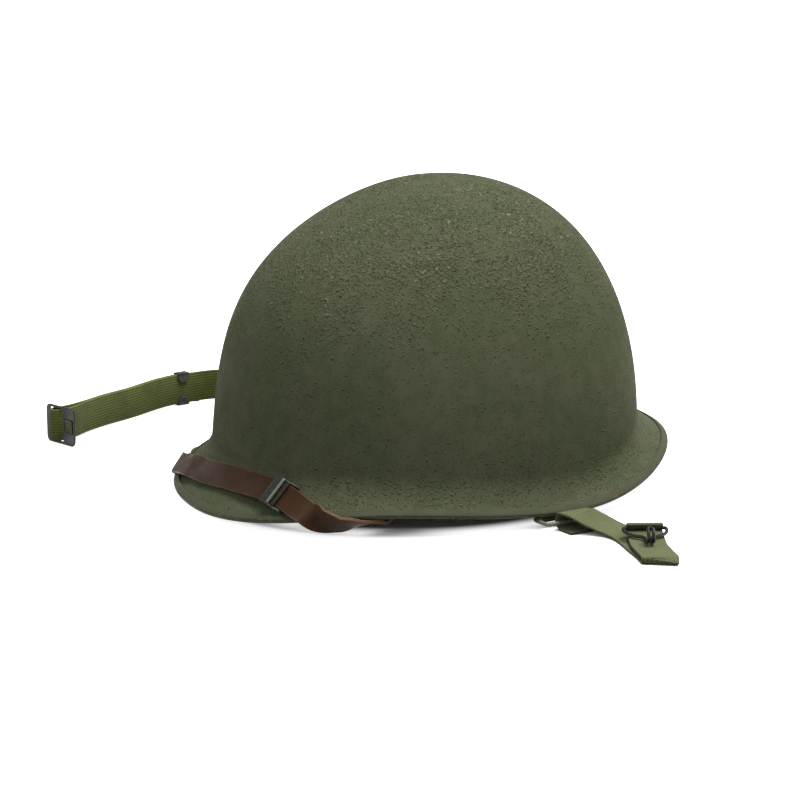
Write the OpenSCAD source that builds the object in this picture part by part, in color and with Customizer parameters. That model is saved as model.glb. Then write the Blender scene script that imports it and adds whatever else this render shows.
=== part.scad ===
// Steel combat helmet with its fibre liner, suspension and chin straps.
// Millimetres, +Z up. The visor faces -Y and the wearer's left is +X.
// The origin is on the floor under the middle of the rim.

/* [Steel shell] */
// Width of the bowl above the flare
bowl_w = 221.6; // [216:0.2:224]
// Bowl reach in front of the origin
bowl_front = 116.5; // [114:0.5:118]
// Bowl reach behind the origin
bowl_rear = 119.9; // [117:0.1:122]
// How far the rim stands out from the bowl at the sides
side_flare = 9.2; // [8.5:0.1:11]
// How far the visor's edge stands out in front of the bowl
visor_reach = 21.5; // [19:0.5:24]
// How far the rear brim's edge stands out behind the bowl
rear_reach = 22.1; // [19:0.1:24]
// Height of the crown above the floor
crown_h = 172.8; // [166:0.2:180]
// How far the crown sits behind the middle of the bowl
crown_back = 12.6; // [8:0.2:16]
// Thickness of the steel
steel_t = 1.1; // [0.9:0.1:1.3]
// Height of the visor's fold above its edge
visor_h = 21; // [18:1:24]
// Height of the flare above the rim at the sides
flare_h = 10; // [8:1:12]
// Height of the rear brim's fold above its edge
rear_brim_h = 13; // [11:1:15]

/* [Rim line] */
// Rim height at the front, where the visor meets the floor
rim_front_h = 0; // [0:0.5:4]
// Rim height a fifth of the way back
rim_quarter_h = 9.9; // [7:0.1:12]
// Rim height just in front of the middle
rim_side_h = 10.4; // [8:0.1:12]
// Rim height at the strap loops
rim_loop_h = 5.9; // [5.4:0.1:7]
// Rim height behind the loops
rim_back_h = 9.7; // [8:0.1:12]
// Rim height at the rear
rim_rear_h = 24; // [20:0.5:27]

/* [Rim edging] */
// Width of the folded edging band
edging_w = 5; // [4.5:0.1:6]
// Thickness over the edging
edging_t = 3.2; // [3:0.1:3.8]

/* [Liner] */
// Gap between the steel and the liner
liner_gap = 1.6; // [1.3:0.1:2.2]
// Thickness of the liner
liner_t = 2.2; // [1.8:0.1:2.6]
// Height of the liner's edge above the steel's edge
liner_up = 7; // [6:0.5:9]
// Bore of the front eyelet
eyelet_d = 5; // [4:0.5:6]

/* [Suspension] */
// Width of the suspension band
band_w = 36; // [30:1:40]
// Height of the middle of the suspension band at the sides
band_mid_h = 62; // [59:1:66]
// Thickness of the suspension webbing
susp_t = 1.4; // [1.2:0.1:1.6]
// Width of each crown strap
crown_strap_w = 24; // [20:1:27]
// Radius of the lace that gathers the crown straps
lace_ring_r = 27; // [25:1:29]
// Width of the leather sweatband
sweat_w = 38; // [34:1:42]
// Thickness of the sweatband
sweat_t = 2; // [1.6:0.1:2.4]
// Width of the nape strap
nape_w = 16; // [12:1:18]
// Shank diameter of the rivets
rivet_d = 3.2; // [2.8:0.1:3.6]

/* [Chin straps] */
// Width of the cotton web
web_w = 19; // [17:0.5:20]
// Thickness of the cotton web
web_t = 1.5; // [1.3:0.1:1.7]
// Diameter of the loop wire
loop_wire_d = 2.2; // [2:0.1:2.4]
// Width of the loop between its arms
loop_inside_w = 26; // [25.5:0.5:28]
// Distance of the loops behind the origin
loop_y = 35; // [33:1:37]
// Diameter of the hook wire
hook_wire_d = 1.9; // [1.7:0.1:2.1]
// Thickness of the buckle plate
buckle_t = 1.2; // [1:0.1:1.4]
// Height of the buckle plate
buckle_h = 23; // [22.5:0.5:25]

/* [Leather strap] */
// Width of the leather strap
leather_w = 14; // [13:0.5:16]
// Thickness of the leather strap
leather_t = 2; // [1.7:0.1:2.2]

/* [Hidden] */

// Width across the rim, and its reach in front of the origin and behind it
rim_w = bowl_w + 2 * side_flare;
rim_front = bowl_front + visor_reach;
rim_rear = bowl_rear + rear_reach;

// Clearance between soft pieces and what they lie on
soft_gap = 0.3;
// Clearance between parts that are fastened face to face
seat_gap = 0.1;
// Radial clearance of the loop hinges
hinge_gap = 0.08;

// Plan exponents of the rim at the front and rear, and of the bowl
rim_front_n = 2.21;
rim_rear_n = 2.11;
bowl_n = 2.2;
// Height from which the bowl's side, front and rear profiles are drawn
base_side = 20;
base_front = 10;
base_rear = 0;
// Profile exponents: reach and height at the front, reach and height elsewhere
front_reach_n = 1.43;
front_height_n = 3.78;
reach_n = 2.22;
height_n = 2.39;
// Length over which the wall bends into the brim, at the sides and at the ends
side_bend = 12;
end_bend = 7;

// Divisions round the shell, down the bowl and across the brim
around = 60;
bowl_rows = 16;
brim_rows = 5;

function unit(v) = v / norm(v);
function spow(v, e) = sign(v) * pow(max(abs(v), 1e-9), e);
function plan(a, half, front, rear, n) =
    [half * spow(cos(a), 2 / n), (sin(a) < 0 ? front : rear) * spow(sin(a), 2 / n)];

// Rim height: one smooth curve through six named heights, from front to rear
rim_stops = [-1, -0.6, -0.2, 0.2, 0.6, 1];
rim_heights = [rim_front_h, rim_quarter_h, rim_side_h, rim_loop_h, rim_back_h, rim_rear_h];
function stop_weight(s, k, j = 0) =
    j == len(rim_stops) ? 1 :
    (j == k ? 1 : (s - rim_stops[j]) / (rim_stops[k] - rim_stops[j])) * stop_weight(s, k, j + 1);
function sum(v, i = 0) = i == len(v) ? 0 : v[i] + sum(v, i + 1);
function rim_height(s) = sum([for (k = [0 : len(rim_stops) - 1]) rim_heights[k] * stop_weight(s, k)]);

// A value that runs from the sides to the front and to the rear
function ends(s, side, front, rear, p) = side + ((s < 0 ? front : rear) - side) * pow(abs(s), p);

// Centre of the edging's cross-section
edge_drop = edging_t * 0.6;
function rim_pt(a) =
    let (p = plan(a, rim_w / 2 - 1, rim_front - 1, rim_rear - 1, sin(a) < 0 ? rim_front_n : rim_rear_n))
    [p[0], p[1], rim_height(sin(a)) + edge_drop];

function bowl_base(s) = ends(s, base_side, base_front, base_rear, 2);
function bowl_reach_n(s) = s < 0 ? reach_n + (front_reach_n - reach_n) * s * s : reach_n;
function bowl_height_n(s) = s < 0 ? height_n + (front_height_n - height_n) * s * s : height_n;

// Point of the bowl's outer face at height share t
function bowl_share(a, t) =
    let (
        s = sin(a),
        c = pow(max(1 - pow(t, bowl_height_n(s)), 0), 1 / bowl_reach_n(s)),
        p = plan(a, bowl_w / 2 * c, bowl_front * c, bowl_rear * c, bowl_n),
        b = bowl_base(s)
    )
    [p[0], p[1] + crown_back * t, b + (crown_h - b) * t];
// Point at a height; below its base the bowl's wall runs straight down
function bowl_pt(a, z) =
    let (b = bowl_base(sin(a)), p = bowl_share(a, min(1, max(0, (z - b) / (crown_h - b)))))
    [p[0], p[1], z];
// Directions along the wall, up it and into the bowl, and a point at a depth under its face
function wall_along(a, z) = unit(bowl_pt(a + 1, z) - bowl_pt(a - 1, z));
function wall_in(a, z) = unit(cross(bowl_pt(a, z + 4) - bowl_pt(a, z - 4), wall_along(a, z)));
function wall_pt(a, z, depth) = bowl_pt(a, z) + depth * wall_in(a, z);

// Fold of the brim, and where the wall starts to bend into it
function fold_z(a) = rim_height(sin(a)) + ends(sin(a), flare_h, visor_h, rear_brim_h, 4);
function bend_z(a) = fold_z(a) + ends(sin(a), side_bend, end_bend, end_bend, 4);
function brim_pt(a, v) =
    let (w = 1 - v)
    w * w * bowl_pt(a, bend_z(a)) + 2 * w * v * bowl_pt(a, fold_z(a)) + v * v * rim_pt(a);

// Rows of the outer face: down the bowl, then across the brim as far as share reach
function bowl_row_pt(a, w) =
    let (
        s = sin(a),
        b = bowl_base(s),
        t0 = (bend_z(a) - b) / (crown_h - b),
        low = asin(pow(t0, bowl_height_n(s) / 2)),
        ang = 90 - (90 - low) * w
    )
    bowl_share(a, pow(sin(ang), 2 / bowl_height_n(s)));
// The liner hangs straight at the sides and follows the brim a little at the ends
function liner_pt(a, v) =
    let (
        s = sin(a),
        low = rim_height(s) + liner_up,
        lip = ends(s, 0, 0.62, 0.45, 4),
        z = bend_z(a) + (low - bend_z(a)) * v
    )
    (1 - lip) * bowl_pt(a, z) + lip * brim_pt(a, v * (s < 0 ? 0.8 : 0.7));
function face_pt(a, j, liner) =
    j < bowl_rows ? bowl_row_pt(a, (j + 1) / bowl_rows) :
    liner ? liner_pt(a, (j + 1 - bowl_rows) / brim_rows) :
    brim_pt(a, (j + 1 - bowl_rows) / brim_rows);
function face_normal(a, j, liner) =
    let (
        da = 0.5,
        across = face_pt(a + da, j, liner) - face_pt(a - da, j, liner),
        up = j == 0 ? [0, crown_back, crown_h] : face_pt(a, j - 1, liner),
        down = face_pt(a, min(j + 1, bowl_rows + brim_rows - 1), liner)
    )
    unit(cross(down - up, across));
function face_rows(depth, liner) = [
    for (j = [0 : bowl_rows + brim_rows - 1], i = [0 : around - 1])
        let (a = 360 * i / around)
        face_pt(a, j, liner) - depth * face_normal(a, j, liner)
];

// Thin shell between two depths under the outer face
module shell_between(outer, inner, liner) {
    rows = bowl_rows + brim_rows;
    half = rows * around + 1;
    crown = [0, crown_back, crown_h];
    points = concat([crown - [0, 0, outer]], face_rows(outer, liner),
                    [crown - [0, 0, inner]], face_rows(inner, liner));
    last = rows - 1;
    faces = concat(
        [for (i = [0 : around - 1]) let (k = (i + 1) % around) [0, 1 + k, 1 + i]],
        [for (i = [0 : around - 1]) let (k = (i + 1) % around) [half, half + 1 + i, half + 1 + k]],
        [for (j = [0 : rows - 2], i = [0 : around - 1], h = [0, 1])
            let (k = (i + 1) % around, p = 1 + j * around, q = p + around)
            h == 0 ? [p + i, p + k, q + k] : [p + i, q + k, q + i]],
        [for (j = [0 : rows - 2], i = [0 : around - 1], h = [0, 1])
            let (k = (i + 1) % around, p = half + 1 + j * around, q = p + around)
            h == 0 ? [p + i, q + k, p + k] : [p + i, q + i, q + k]],
        [for (i = [0 : around - 1], h = [0, 1])
            let (k = (i + 1) % around, p = 1 + last * around, q = half + p)
            h == 0 ? [p + i, p + k, q + k] : [p + i, q + k, q + i]]
    );
    polyhedron(points, faces);
}

// Closed sweep of a ring of equal sections, or an open one with flat ends
function sweep_faces(n, m, closed) = concat(
    [for (i = [0 : n - (closed ? 1 : 2)], k = [0 : m - 1], h = [0, 1])
        let (a = i * m, b = ((i + 1) % n) * m, l = (k + 1) % m)
        h == 0 ? [a + k, b + k, b + l] : [a + k, b + l, a + l]],
    closed ? [] : [for (k = [1 : m - 2]) [0, k, k + 1]],
    closed ? [] : [for (k = [1 : m - 2]) [(n - 1) * m, (n - 1) * m + k + 1, (n - 1) * m + k]]
);
function flat(lists) = [for (l = lists, p = l) p];
module swept(sections, closed) {
    polyhedron(flat(sections), sweep_faces(len(sections), len(sections[0]), closed));
}

// Smooth curve through chosen points, with the given number of steps between them
function spline_pt(p, i, f) =
    let (
        n = len(p),
        a = p[max(i - 1, 0)], b = p[i], c = p[min(i + 1, n - 1)], d = p[min(i + 2, n - 1)]
    )
    0.5 * (2 * b + (c - a) * f + (2 * a - 5 * b + 4 * c - d) * f * f + (3 * b - a - 3 * c + d) * f * f * f);
function smooth(p, steps) = concat(
    [for (i = [0 : len(p) - 2], k = [0 : steps - 1]) spline_pt(p, i, k / steps)], [p[len(p) - 1]]);

function heading(c, i) = unit(c[min(i + 1, len(c) - 1)] - c[max(i - 1, 0)]);

// Strap of a given width and thickness: stops are [centre, direction across the strap]
module ribbon(stops, w, t, steps) {
    c = smooth([for (s = stops) s[0]], steps);
    a = smooth([for (s = stops) unit(s[1])], steps);
    swept([for (i = [0 : len(c) - 1])
        let (
            h = heading(c, i),
            side = unit(a[i] - (a[i] * h) * h),
            n = cross(h, side)
        )
        [c[i] + side * w / 2 + n * t / 2, c[i] - side * w / 2 + n * t / 2,
         c[i] - side * w / 2 - n * t / 2, c[i] + side * w / 2 - n * t / 2]], false);
}

// Wire along chosen points
module wire(route, d, steps, sides = 8) {
    c = smooth(route, steps);
    swept([for (i = [0 : len(c) - 1])
        let (
            h = heading(c, i),
            u = unit(cross(h, abs(h[2]) > 0.9 ? [1, 0, 0] : [0, 0, 1])),
            v = cross(h, u)
        )
        [for (k = [0 : sides - 1]) c[i] + d / 2 * (u * cos(360 * k / sides) + v * sin(360 * k / sides))]],
        false);
}

// Place children at a point with the given directions for X, Y and Z
module placed(p, x, y, z) {
    multmatrix([[x[0], y[0], z[0], p[0]], [x[1], y[1], z[1], p[1]], [x[2], y[2], z[2], p[2]], [0, 0, 0, 1]])
        children();
}
// Place children on the wall: Y runs up it and Z looks inwards, square to it
module at_wall(a, z, depth) {
    along = wall_along(a, z);
    placed(wall_pt(a, z, depth), -along, cross(along, wall_in(a, z)), wall_in(a, z)) children();
}

module steel_shell() {
    color([0.28, 0.29, 0.22]) shell_between(0, steel_t, false);
}

// Folded edging: a channel that grips the edge of the shell
module rim_edging() {
    h = edging_t / 2;
    slot = steel_t / 2 + 0.3;
    lap = edging_w - 1;
    section = [[-lap, -h], [-lap, -slot], [0.15, -slot], [0.15, slot], [-lap, slot], [-lap, h],
               [0.5, h], [1, h * 0.6], [1, -h * 0.6], [0.5, -h]];
    color([0.31, 0.33, 0.24]) swept([for (i = [0 : around - 1])
        let (
            a = 360 * i / around,
            out = unit(brim_pt(a, 1) - brim_pt(a, 0.93)),
            n = face_normal(a, bowl_rows + brim_rows - 1, false),
            mid = rim_pt(a) - n * steel_t / 2
        )
        [for (p = section) mid + out * p[0] + n * p[1]]], true);
}

// Strap loops: a wire rectangle that swings in a folded bracket inside the rim.
// Its frame stands on the rim's line, with X outwards and Y along the rim.
function angle_at(y, reach, n) = asin(pow(y / reach, n / 2));
function rim_x_at(y) = plan(angle_at(y, rim_rear - 1, rim_rear_n), rim_w / 2 - 1, 1, rim_rear - 1, rim_rear_n)[0];
function wall_x_at(y) = plan(angle_at(y, bowl_rear, bowl_n), bowl_w / 2, 1, bowl_rear, bowl_n)[0];
loop_a = angle_at(loop_y, rim_rear - 1, rim_rear_n);
rim_x = rim_x_at(loop_y);
loop_turn = atan((rim_x_at(loop_y - 9) - rim_x_at(loop_y + 9)) / 18);
loop_z = rim_height(sin(loop_a)) - 0.45 - loop_wire_d / 2;
rod_out = 6.6;
bracket_t = 1.2;
bracket_w = 18;
hinge_bore_r = loop_wire_d / 2 + hinge_gap;
hinge_tube_r = hinge_bore_r + bracket_t;
hinge_in = (rim_x - wall_x_at(loop_y)) * cos(loop_turn) - steel_t - 1.5;
loop_half = loop_inside_w / 2 + loop_wire_d / 2;
// A point set out from where the loop crosses the rim
function from_loop(out, back, up) = [rim_x + out, loop_y + back, up];
function on_rim(p) = [
    rim_x + p[0] * cos(loop_turn) - p[1] * sin(loop_turn),
    loop_y + p[0] * sin(loop_turn) + p[1] * cos(loop_turn),
    p[2]
];

module side(left) {
    if (left) children();
    else mirror([1, 0, 0]) children();
}
module along_y(length, r) {
    rotate([-90, 0, 0]) cylinder(h = length, r = r, center = true, $fn = 48);
}
module at_loop(left) {
    side(left) translate([rim_x, loop_y, loop_z]) rotate([0, 0, loop_turn]) children();
}

module loop_bracket(left) {
    leaf_h = fold_z(loop_a) - loop_z - 2;
    color([0.25, 0.26, 0.2]) at_loop(left) difference() {
        union() {
            translate([-hinge_in, 0, 0]) along_y(bracket_w, hinge_tube_r);
            translate([-hinge_in - hinge_tube_r, -bracket_w / 2, 0]) cube([bracket_t, bracket_w, leaf_h]);
        }
        translate([-hinge_in, 0, 0]) along_y(bracket_w + 2, hinge_bore_r);
    }
}
module left_loop_bracket() loop_bracket(true);
module right_loop_bracket() loop_bracket(false);

module swivel_loop(left) {
    r = loop_wire_d / 2;
    color([0.36, 0.4, 0.31]) at_loop(left) {
        for (x = [-hinge_in, rod_out]) translate([x, 0, 0]) along_y(2 * loop_half, r);
        for (y = [-loop_half, loop_half]) {
            translate([(rod_out - hinge_in) / 2, y, 0]) rotate([0, 90, 0])
                cylinder(h = rod_out + hinge_in, r = r, center = true, $fn = 48);
            for (x = [-hinge_in, rod_out]) translate([x, y, 0]) sphere(r = r, $fn = 48);
        }
    }
}
module left_swivel_loop() swivel_loop(true);
module right_swivel_loop() swivel_loop(false);

// Turn of a web round the loop's outer rod, from its sewn hem to the top of the rod.
// Its points are [out from the rim's line, along the rim, up from the floor].
wrap_y = 2.5;
hem_z = web_t / 2 + 0.25;
wrap_out = loop_wire_d / 2 + soft_gap + web_t / 2 + 0.6;
wrap_up = wrap_out + 1.2;
wrap_z = hem_z + wrap_up + 0.3;
along_rim = [-sin(loop_turn), cos(loop_turn), 0];
function wrap_stops() = concat(
    [for (x = [11, 7, 2.5]) [on_rim([rod_out + x, wrap_y, hem_z]), along_rim]],
    [for (a = [225, 180, 150, 120, 90])
        [on_rim([rod_out + wrap_out * cos(a), wrap_y, wrap_z + wrap_up * sin(a)]), along_rim]]
);
// Free run of the hook strap: over an arch, flat on the floor, folded back on itself
fold_gap = 2.6;
upper_z = hem_z + fold_gap;
hook_at = from_loop(42.02, 27.5, upper_z + 3.6);
hook_turn = 19;
roll_r = hook_wire_d / 2 + soft_gap + web_t / 2 + 0.1;
hook_run = [cos(-hook_turn), sin(-hook_turn), 0];
hook_bar = [sin(hook_turn), cos(hook_turn), 0];
function roll_pt(run, up) = hook_at + hook_run * run + [0, 0, up];
function hook_strap_stops() = concat(
    wrap_stops(),
    [
        [from_loop(10.52, 5, 9.4), [-0.28, 0.96, 0]],
        [from_loop(13.82, 7, 8.6), [-0.36, 0.93, 0]],
        [from_loop(17.22, 11.6, 6.2), [-0.42, 0.9, 0]],
        [from_loop(22.02, 17, 3.4), [-0.36, 0.93, 0]],
        [from_loop(28.52, 20.5, 2), [-0.22, 0.97, 0]],
        [from_loop(36.02, 22, 1.3), [-0.12, 0.99, 0]],
        [from_loop(46.02, 21.5, hem_z), [-0.02, 1, 0]],
        [from_loop(59.02, 19.6, hem_z), [0.08, 1, 0]],
        [from_loop(72.02, 18, hem_z), [0.28, 0.96, 0]],
        [from_loop(82.02, 16, hem_z), [0.46, 0.89, 0]],
        [from_loop(84.62, 15, hem_z + fold_gap / 2), [0.5, 0.87, 0]],
        [from_loop(82.02, 16.2, upper_z), [0.46, 0.89, 0]],
        [from_loop(72.02, 18.2, upper_z), [0.34, 0.94, 0]],
        [from_loop(60.02, 21, upper_z), [0.33, 0.944, 0]]
    ],
    [for (p = [[9, -3.4], [4, -roll_r - 0.5]]) [roll_pt(p[0], p[1]), hook_bar]],
    [for (a = [-90, -135, -180, -225, -270, -310])
        [roll_pt(roll_r * cos(a), roll_r * sin(a)), hook_bar]]
);
module hook_strap() {
    color([0.54, 0.57, 0.41]) ribbon(hook_strap_stops(), web_w, web_t, 2);
}

// Wire hook: a bar in the rolled web, two arms that close to a curled-up tongue
hook_half = web_w / 2 + hook_wire_d / 2 + 0.8;
tongue_half = hook_wire_d / 2 + 0.35;
function hook_side(k) = [
    [2.2, k * hook_half, -0.5], [6, k * (hook_half - 1), -1.1], [10, k * (hook_half - 4), -1.2],
    [13, k * (tongue_half + 1.6), -1.2], [17, k * (tongue_half + 0.3), -1.2],
    [21.5, k * tongue_half, -1.2], [24.4, k * tongue_half, 0], [25.4, k * tongue_half, 2.2],
    [24.2, k * tongue_half, 4.4], [21.3, k * tongue_half, 5.3]
];
function turned(list) = [for (i = [len(list) - 1 : -1 : 0]) list[i]];
module strap_hook() {
    r = hook_wire_d / 2;
    color([0.13, 0.13, 0.12]) translate(hook_at) rotate([0, 0, -hook_turn]) {
        along_y(2 * hook_half, r);
        wire(concat([[0, -hook_half, 0]], hook_side(-1), [[18.6, 0, 5.2]], turned(hook_side(1)),
                    [[0, hook_half, 0]]), hook_wire_d, 2);
    }
}

// Buckle strap: laid on its edge in a long curve, round the buckle bar and back
edge_z = web_w / 2 + 0.2;
layer_gap = web_t + 0.6;
// A point set out from the right loop, on the other side of the helmet
function beyond_loop(out, back, up) = [-rim_x - out, loop_y + back, up];
buckle_at = beyond_loop(44.22, -203.4, 0);
buckle_turn = 23;
buckle_z = buckle_h / 2 + 0.1;
buckle_run = [cos(buckle_turn), sin(buckle_turn), 0];
buckle_face = [sin(buckle_turn), -cos(buckle_turn), 0];
bar_w = 4.5;
slot_w = 4;
lobe_w = 3.5;
plate_l = 10.8;
eye_r = bar_w / 2 + soft_gap + web_t / 2 + 0.1;
function eye_pt(run, face) = [buckle_at[0], buckle_at[1], buckle_z] + buckle_run * run + buckle_face * face;
lay_out = [79, 98, 111, 117.5, 113, 104, 90, 75, 61];
lay_back = [-21, -38, -59, -81, -105, -123, -145, -165, -180];
lay = [for (i = [0 : len(lay_out) - 1]) [-rim_x - lay_out[i], loop_y + lay_back[i]]];
upright = [0, 0, 1];
function outer_of(i) =
    let (h = unit(lay[min(i + 1, len(lay) - 1)] - lay[i - 1]))
    lay[i] + layer_gap * [h[1], -h[0]];
keeper_i = 4;
keeper_l = 8;
keeper_t = 0.6;
keeper_slack = 0.4;
keeper_z = web_w / 2 + keeper_slack + keeper_t + 0.15;
function rise(i) = i > 2 && i < 6 ? keeper_z : edge_z + (buckle_z - edge_z) * max(0, (i - 6) / 3);
function buckle_strap_stops() = concat(
    [for (s = wrap_stops()) [[-s[0][0], s[0][1], s[0][2]], [-s[1][0], s[1][1], 0]]],
    [
        [beyond_loop(12.02, 3.5, 8.8), [0.17, 0.98, 0]],
        [beyond_loop(20.02, 2, 6.6), [0, 0.97, 0.2]],
        [beyond_loop(30.02, 0, 6.2), [0.03, 0.85, 0.5]],
        [beyond_loop(44.02, -4, 9.1), [0.08, 0.5, 0.86]],
        [beyond_loop(60.02, -10, 10.1), [0.03, 0.15, 0.98]]
    ],
    [for (i = [0 : len(lay) - 1]) [[lay[i][0], lay[i][1], rise(i)], upright]],
    [[eye_pt(0.9, -14), upright]],
    [[eye_pt(eye_r, -5.5), upright]],
    [for (a = [0, 45, 90, 135, 180]) [eye_pt(eye_r * cos(a), eye_r * sin(a)), upright]],
    [[eye_pt(-eye_r, -5.5), upright]],
    [[eye_pt(-3.4, -13), upright]],
    [for (i = [len(lay) - 1 : -1 : 4]) let (p = outer_of(i)) [[p[0], p[1], rise(i)], upright]],
    [[beyond_loop(118.92, -92, edge_z), upright]]
);
module buckle_strap() {
    color([0.36, 0.39, 0.22]) ribbon(buckle_strap_stops(), web_w, web_t, 2);
}

// Flat buckle: an end bar, a slot, the middle bar, a slot and a plate with the hook's hole
module rounded_plate(l, h, r) {
    translate([r, 0]) square([l - 2 * r, h]);
    translate([0, r]) square([l, h - 2 * r]);
    for (x = [r, l - r], y = [r, h - r]) translate([x, y]) circle(r = r, $fn = 32);
}
hole_w = 6.5;
hole_h = 7;
hole_run = bar_w / 2 + slot_w + 5;
module chin_buckle() {
    slot_h = buckle_h - 3.2;
    start = -bar_w / 2 - slot_w - lobe_w;
    length = lobe_w + 2 * slot_w + bar_w + plate_l;
    lip = 1;
    color([0.14, 0.15, 0.13]) translate([buckle_at[0], buckle_at[1], buckle_z]) rotate([0, 0, buckle_turn])
        rotate([90, 0, 0]) {
            difference() {
                linear_extrude(height = buckle_t, center = true)
                    translate([start, -buckle_h / 2]) rounded_plate(length, buckle_h, 3.2);
                for (x = [-bar_w / 2 - slot_w, bar_w / 2])
                    translate([x, -slot_h / 2, -buckle_t]) cube([slot_w, slot_h, 2 * buckle_t]);
                translate([hole_run - hole_w / 2, -hole_h / 2, -buckle_t])
                    cube([hole_w, hole_h, 2 * buckle_t]);
            }
            difference() {
                translate([hole_run - hole_w / 2 - lip, -hole_h / 2 - lip, buckle_t / 2])
                    cube([hole_w + 2 * lip, hole_h + 2 * lip, 0.7]);
                translate([hole_run - hole_w / 2, -hole_h / 2, 0]) cube([hole_w, hole_h, 2]);
            }
        }
}

// Keeper: a back plate with fingers folded over both edges of the doubled web
module strap_keeper() {
    p = lay[keeper_i];
    h = unit(lay[keeper_i + 1] - lay[keeper_i - 1]);
    depth = web_t + layer_gap + 2 * keeper_slack;
    tall = web_w + 2 * keeper_slack;
    finger = 6;
    color([0.13, 0.13, 0.12]) translate([p[0], p[1], keeper_z]) rotate([0, 0, atan2(h[1], h[0])])
        translate([-keeper_l / 2, web_t / 2 + keeper_slack - depth, -tall / 2]) {
            translate([0, -keeper_t, -keeper_t]) cube([keeper_l, keeper_t, tall + 2 * keeper_t]);
            for (z = [-keeper_t, tall])
                translate([0, -keeper_t, z]) cube([keeper_l, depth + 2 * keeper_t, keeper_t]);
            translate([0, depth, -keeper_t]) cube([keeper_l, keeper_t, finger + keeper_t]);
            translate([0, depth, tall - finger]) cube([keeper_l, keeper_t, finger + keeper_t]);
        }
}

// Liner and its fittings. Depths are measured square to the wall, in from the bowl's outer face.
// A flat piece on the curved wall is set in by flat_gap.
flat_gap = 1;
liner_out = steel_t + liner_gap;
liner_in = liner_out + liner_t;
washer_t = 1;
washer_in = liner_in + flat_gap;
band_in = washer_in + washer_t + soft_gap;
crown_in = band_in + susp_t + soft_gap + flat_gap;
rivet_head_t = 0.8;
sweat_in = crown_in + susp_t + rivet_head_t + 1.2;
// The suspension leans with the rim: higher at the rear than at the front
lean = 9;
sweat_down = 11;
function band_z(a) = band_mid_h + lean * sin(a);
function sweat_z(a) = band_z(a) - sweat_down;
// Six anchor points carry the crown straps
anchors = [0, 60, 120, 180, 240, 300];
nape_ends = [38, 142];
nape_end_z = band_mid_h - 26;
stud_a = -5;
stud_z = band_mid_h - 29;
stud_r = 1.6;
eyelet_z = band_mid_h + 24;
eyelet_wall = 1;

module wall_hole(a, z, r) {
    at_wall(a, z, 0) cylinder(h = sweat_in, r = r + seat_gap / 2, $fn = 32);
}
module liner_shell() {
    color([0.27, 0.29, 0.2]) difference() {
        shell_between(liner_out, liner_in, true);
        wall_hole(-90, eyelet_z, eyelet_d / 2 + eyelet_wall);
        for (a = anchors) wall_hole(a, band_z(a), rivet_d / 2);
        for (a = nape_ends) wall_hole(a, nape_end_z, rivet_d / 2);
        for (a = [stud_a, 180 - stud_a]) wall_hole(a, stud_z, stud_r);
    }
}

// Eyelet in the front of the liner, for a badge's stud
module front_eyelet() {
    r = eyelet_d / 2;
    flange = 0.6;
    out = -flange - seat_gap;
    in = liner_t + flat_gap / 2;
    color([0.5, 0.47, 0.36]) at_wall(-90, eyelet_z, liner_out) rotate_extrude($fn = 48) {
        translate([r, out]) square([eyelet_wall, in + flange - out]);
        translate([r, out]) square([3, flange]);
        translate([r, in]) square([2.6, flange]);
    }
}

// Band round the inside, at a depth, with its middle at the height that mid gives each angle
function band_sections(depth, w, t, mid) = [
    for (i = [0 : around - 1])
        let (a = 360 * i / around, z = [mid[i] - w / 2, mid[i], mid[i] + w / 2])
        [for (k = [0, 1, 2]) wall_pt(a, z[k], depth + t), for (k = [2, 1, 0]) wall_pt(a, z[k], depth)]
];
angles = [for (i = [0 : around - 1]) 360 * i / around];
module suspension_band() {
    color([0.55, 0.53, 0.38]) difference() {
        swept(band_sections(band_in, band_w, susp_t, [for (a = angles) band_z(a)]), true);
        for (a = anchors) wall_hole(a, band_z(a), rivet_d / 2);
    }
}
module sweatband() {
    color([0.42, 0.29, 0.19])
        swept(band_sections(sweat_in, sweat_w, sweat_t, [for (a = angles) sweat_z(a)]), true);
}

// Crown straps run from the anchors to a lace that gathers their looped ends
lace_z = crown_h - 38;
crown_mid = [0, crown_back * 0.8, lace_z];
lace_r = 1.5;
loop_turn_r = lace_r + soft_gap + susp_t / 2;
function crown_stops(a) =
    let (
        z0 = band_z(a),
        depth = crown_in + susp_t / 2,
        along = wall_along(a, z0),
        out = [cos(a), sin(a), 0],
        across = [-sin(a), cos(a), 0],
        ring = crown_mid + lace_ring_r * out
    )
    concat(
        [for (z = [z0 - 9, z0, z0 + 9]) [wall_pt(a, z, depth), along]],
        [[wall_pt(a, z0 + band_w / 2 + 10, depth + 1.5), along]],
        [[wall_pt(a, (z0 + band_w / 2 + lace_z) / 2 + 8, depth + 9), across]],
        [for (p = [[9, 1.2], [2.5, 0.1], [0, 0]]) [ring + p[0] * out + [0, 0, loop_turn_r + p[1]], across]],
        [for (g = [135, 180, 225, 270])
            [ring + loop_turn_r * cos(g) * out + [0, 0, loop_turn_r * sin(g)], across]],
        [[ring + 6 * out - [0, 0, loop_turn_r + 0.1], across]]
    );
module crown_straps() {
    color([0.55, 0.53, 0.38]) difference() {
        for (a = anchors) ribbon(crown_stops(a), crown_strap_w, susp_t, 2);
        for (a = anchors) wall_hole(a, band_z(a), rivet_d / 2);
    }
}
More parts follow.
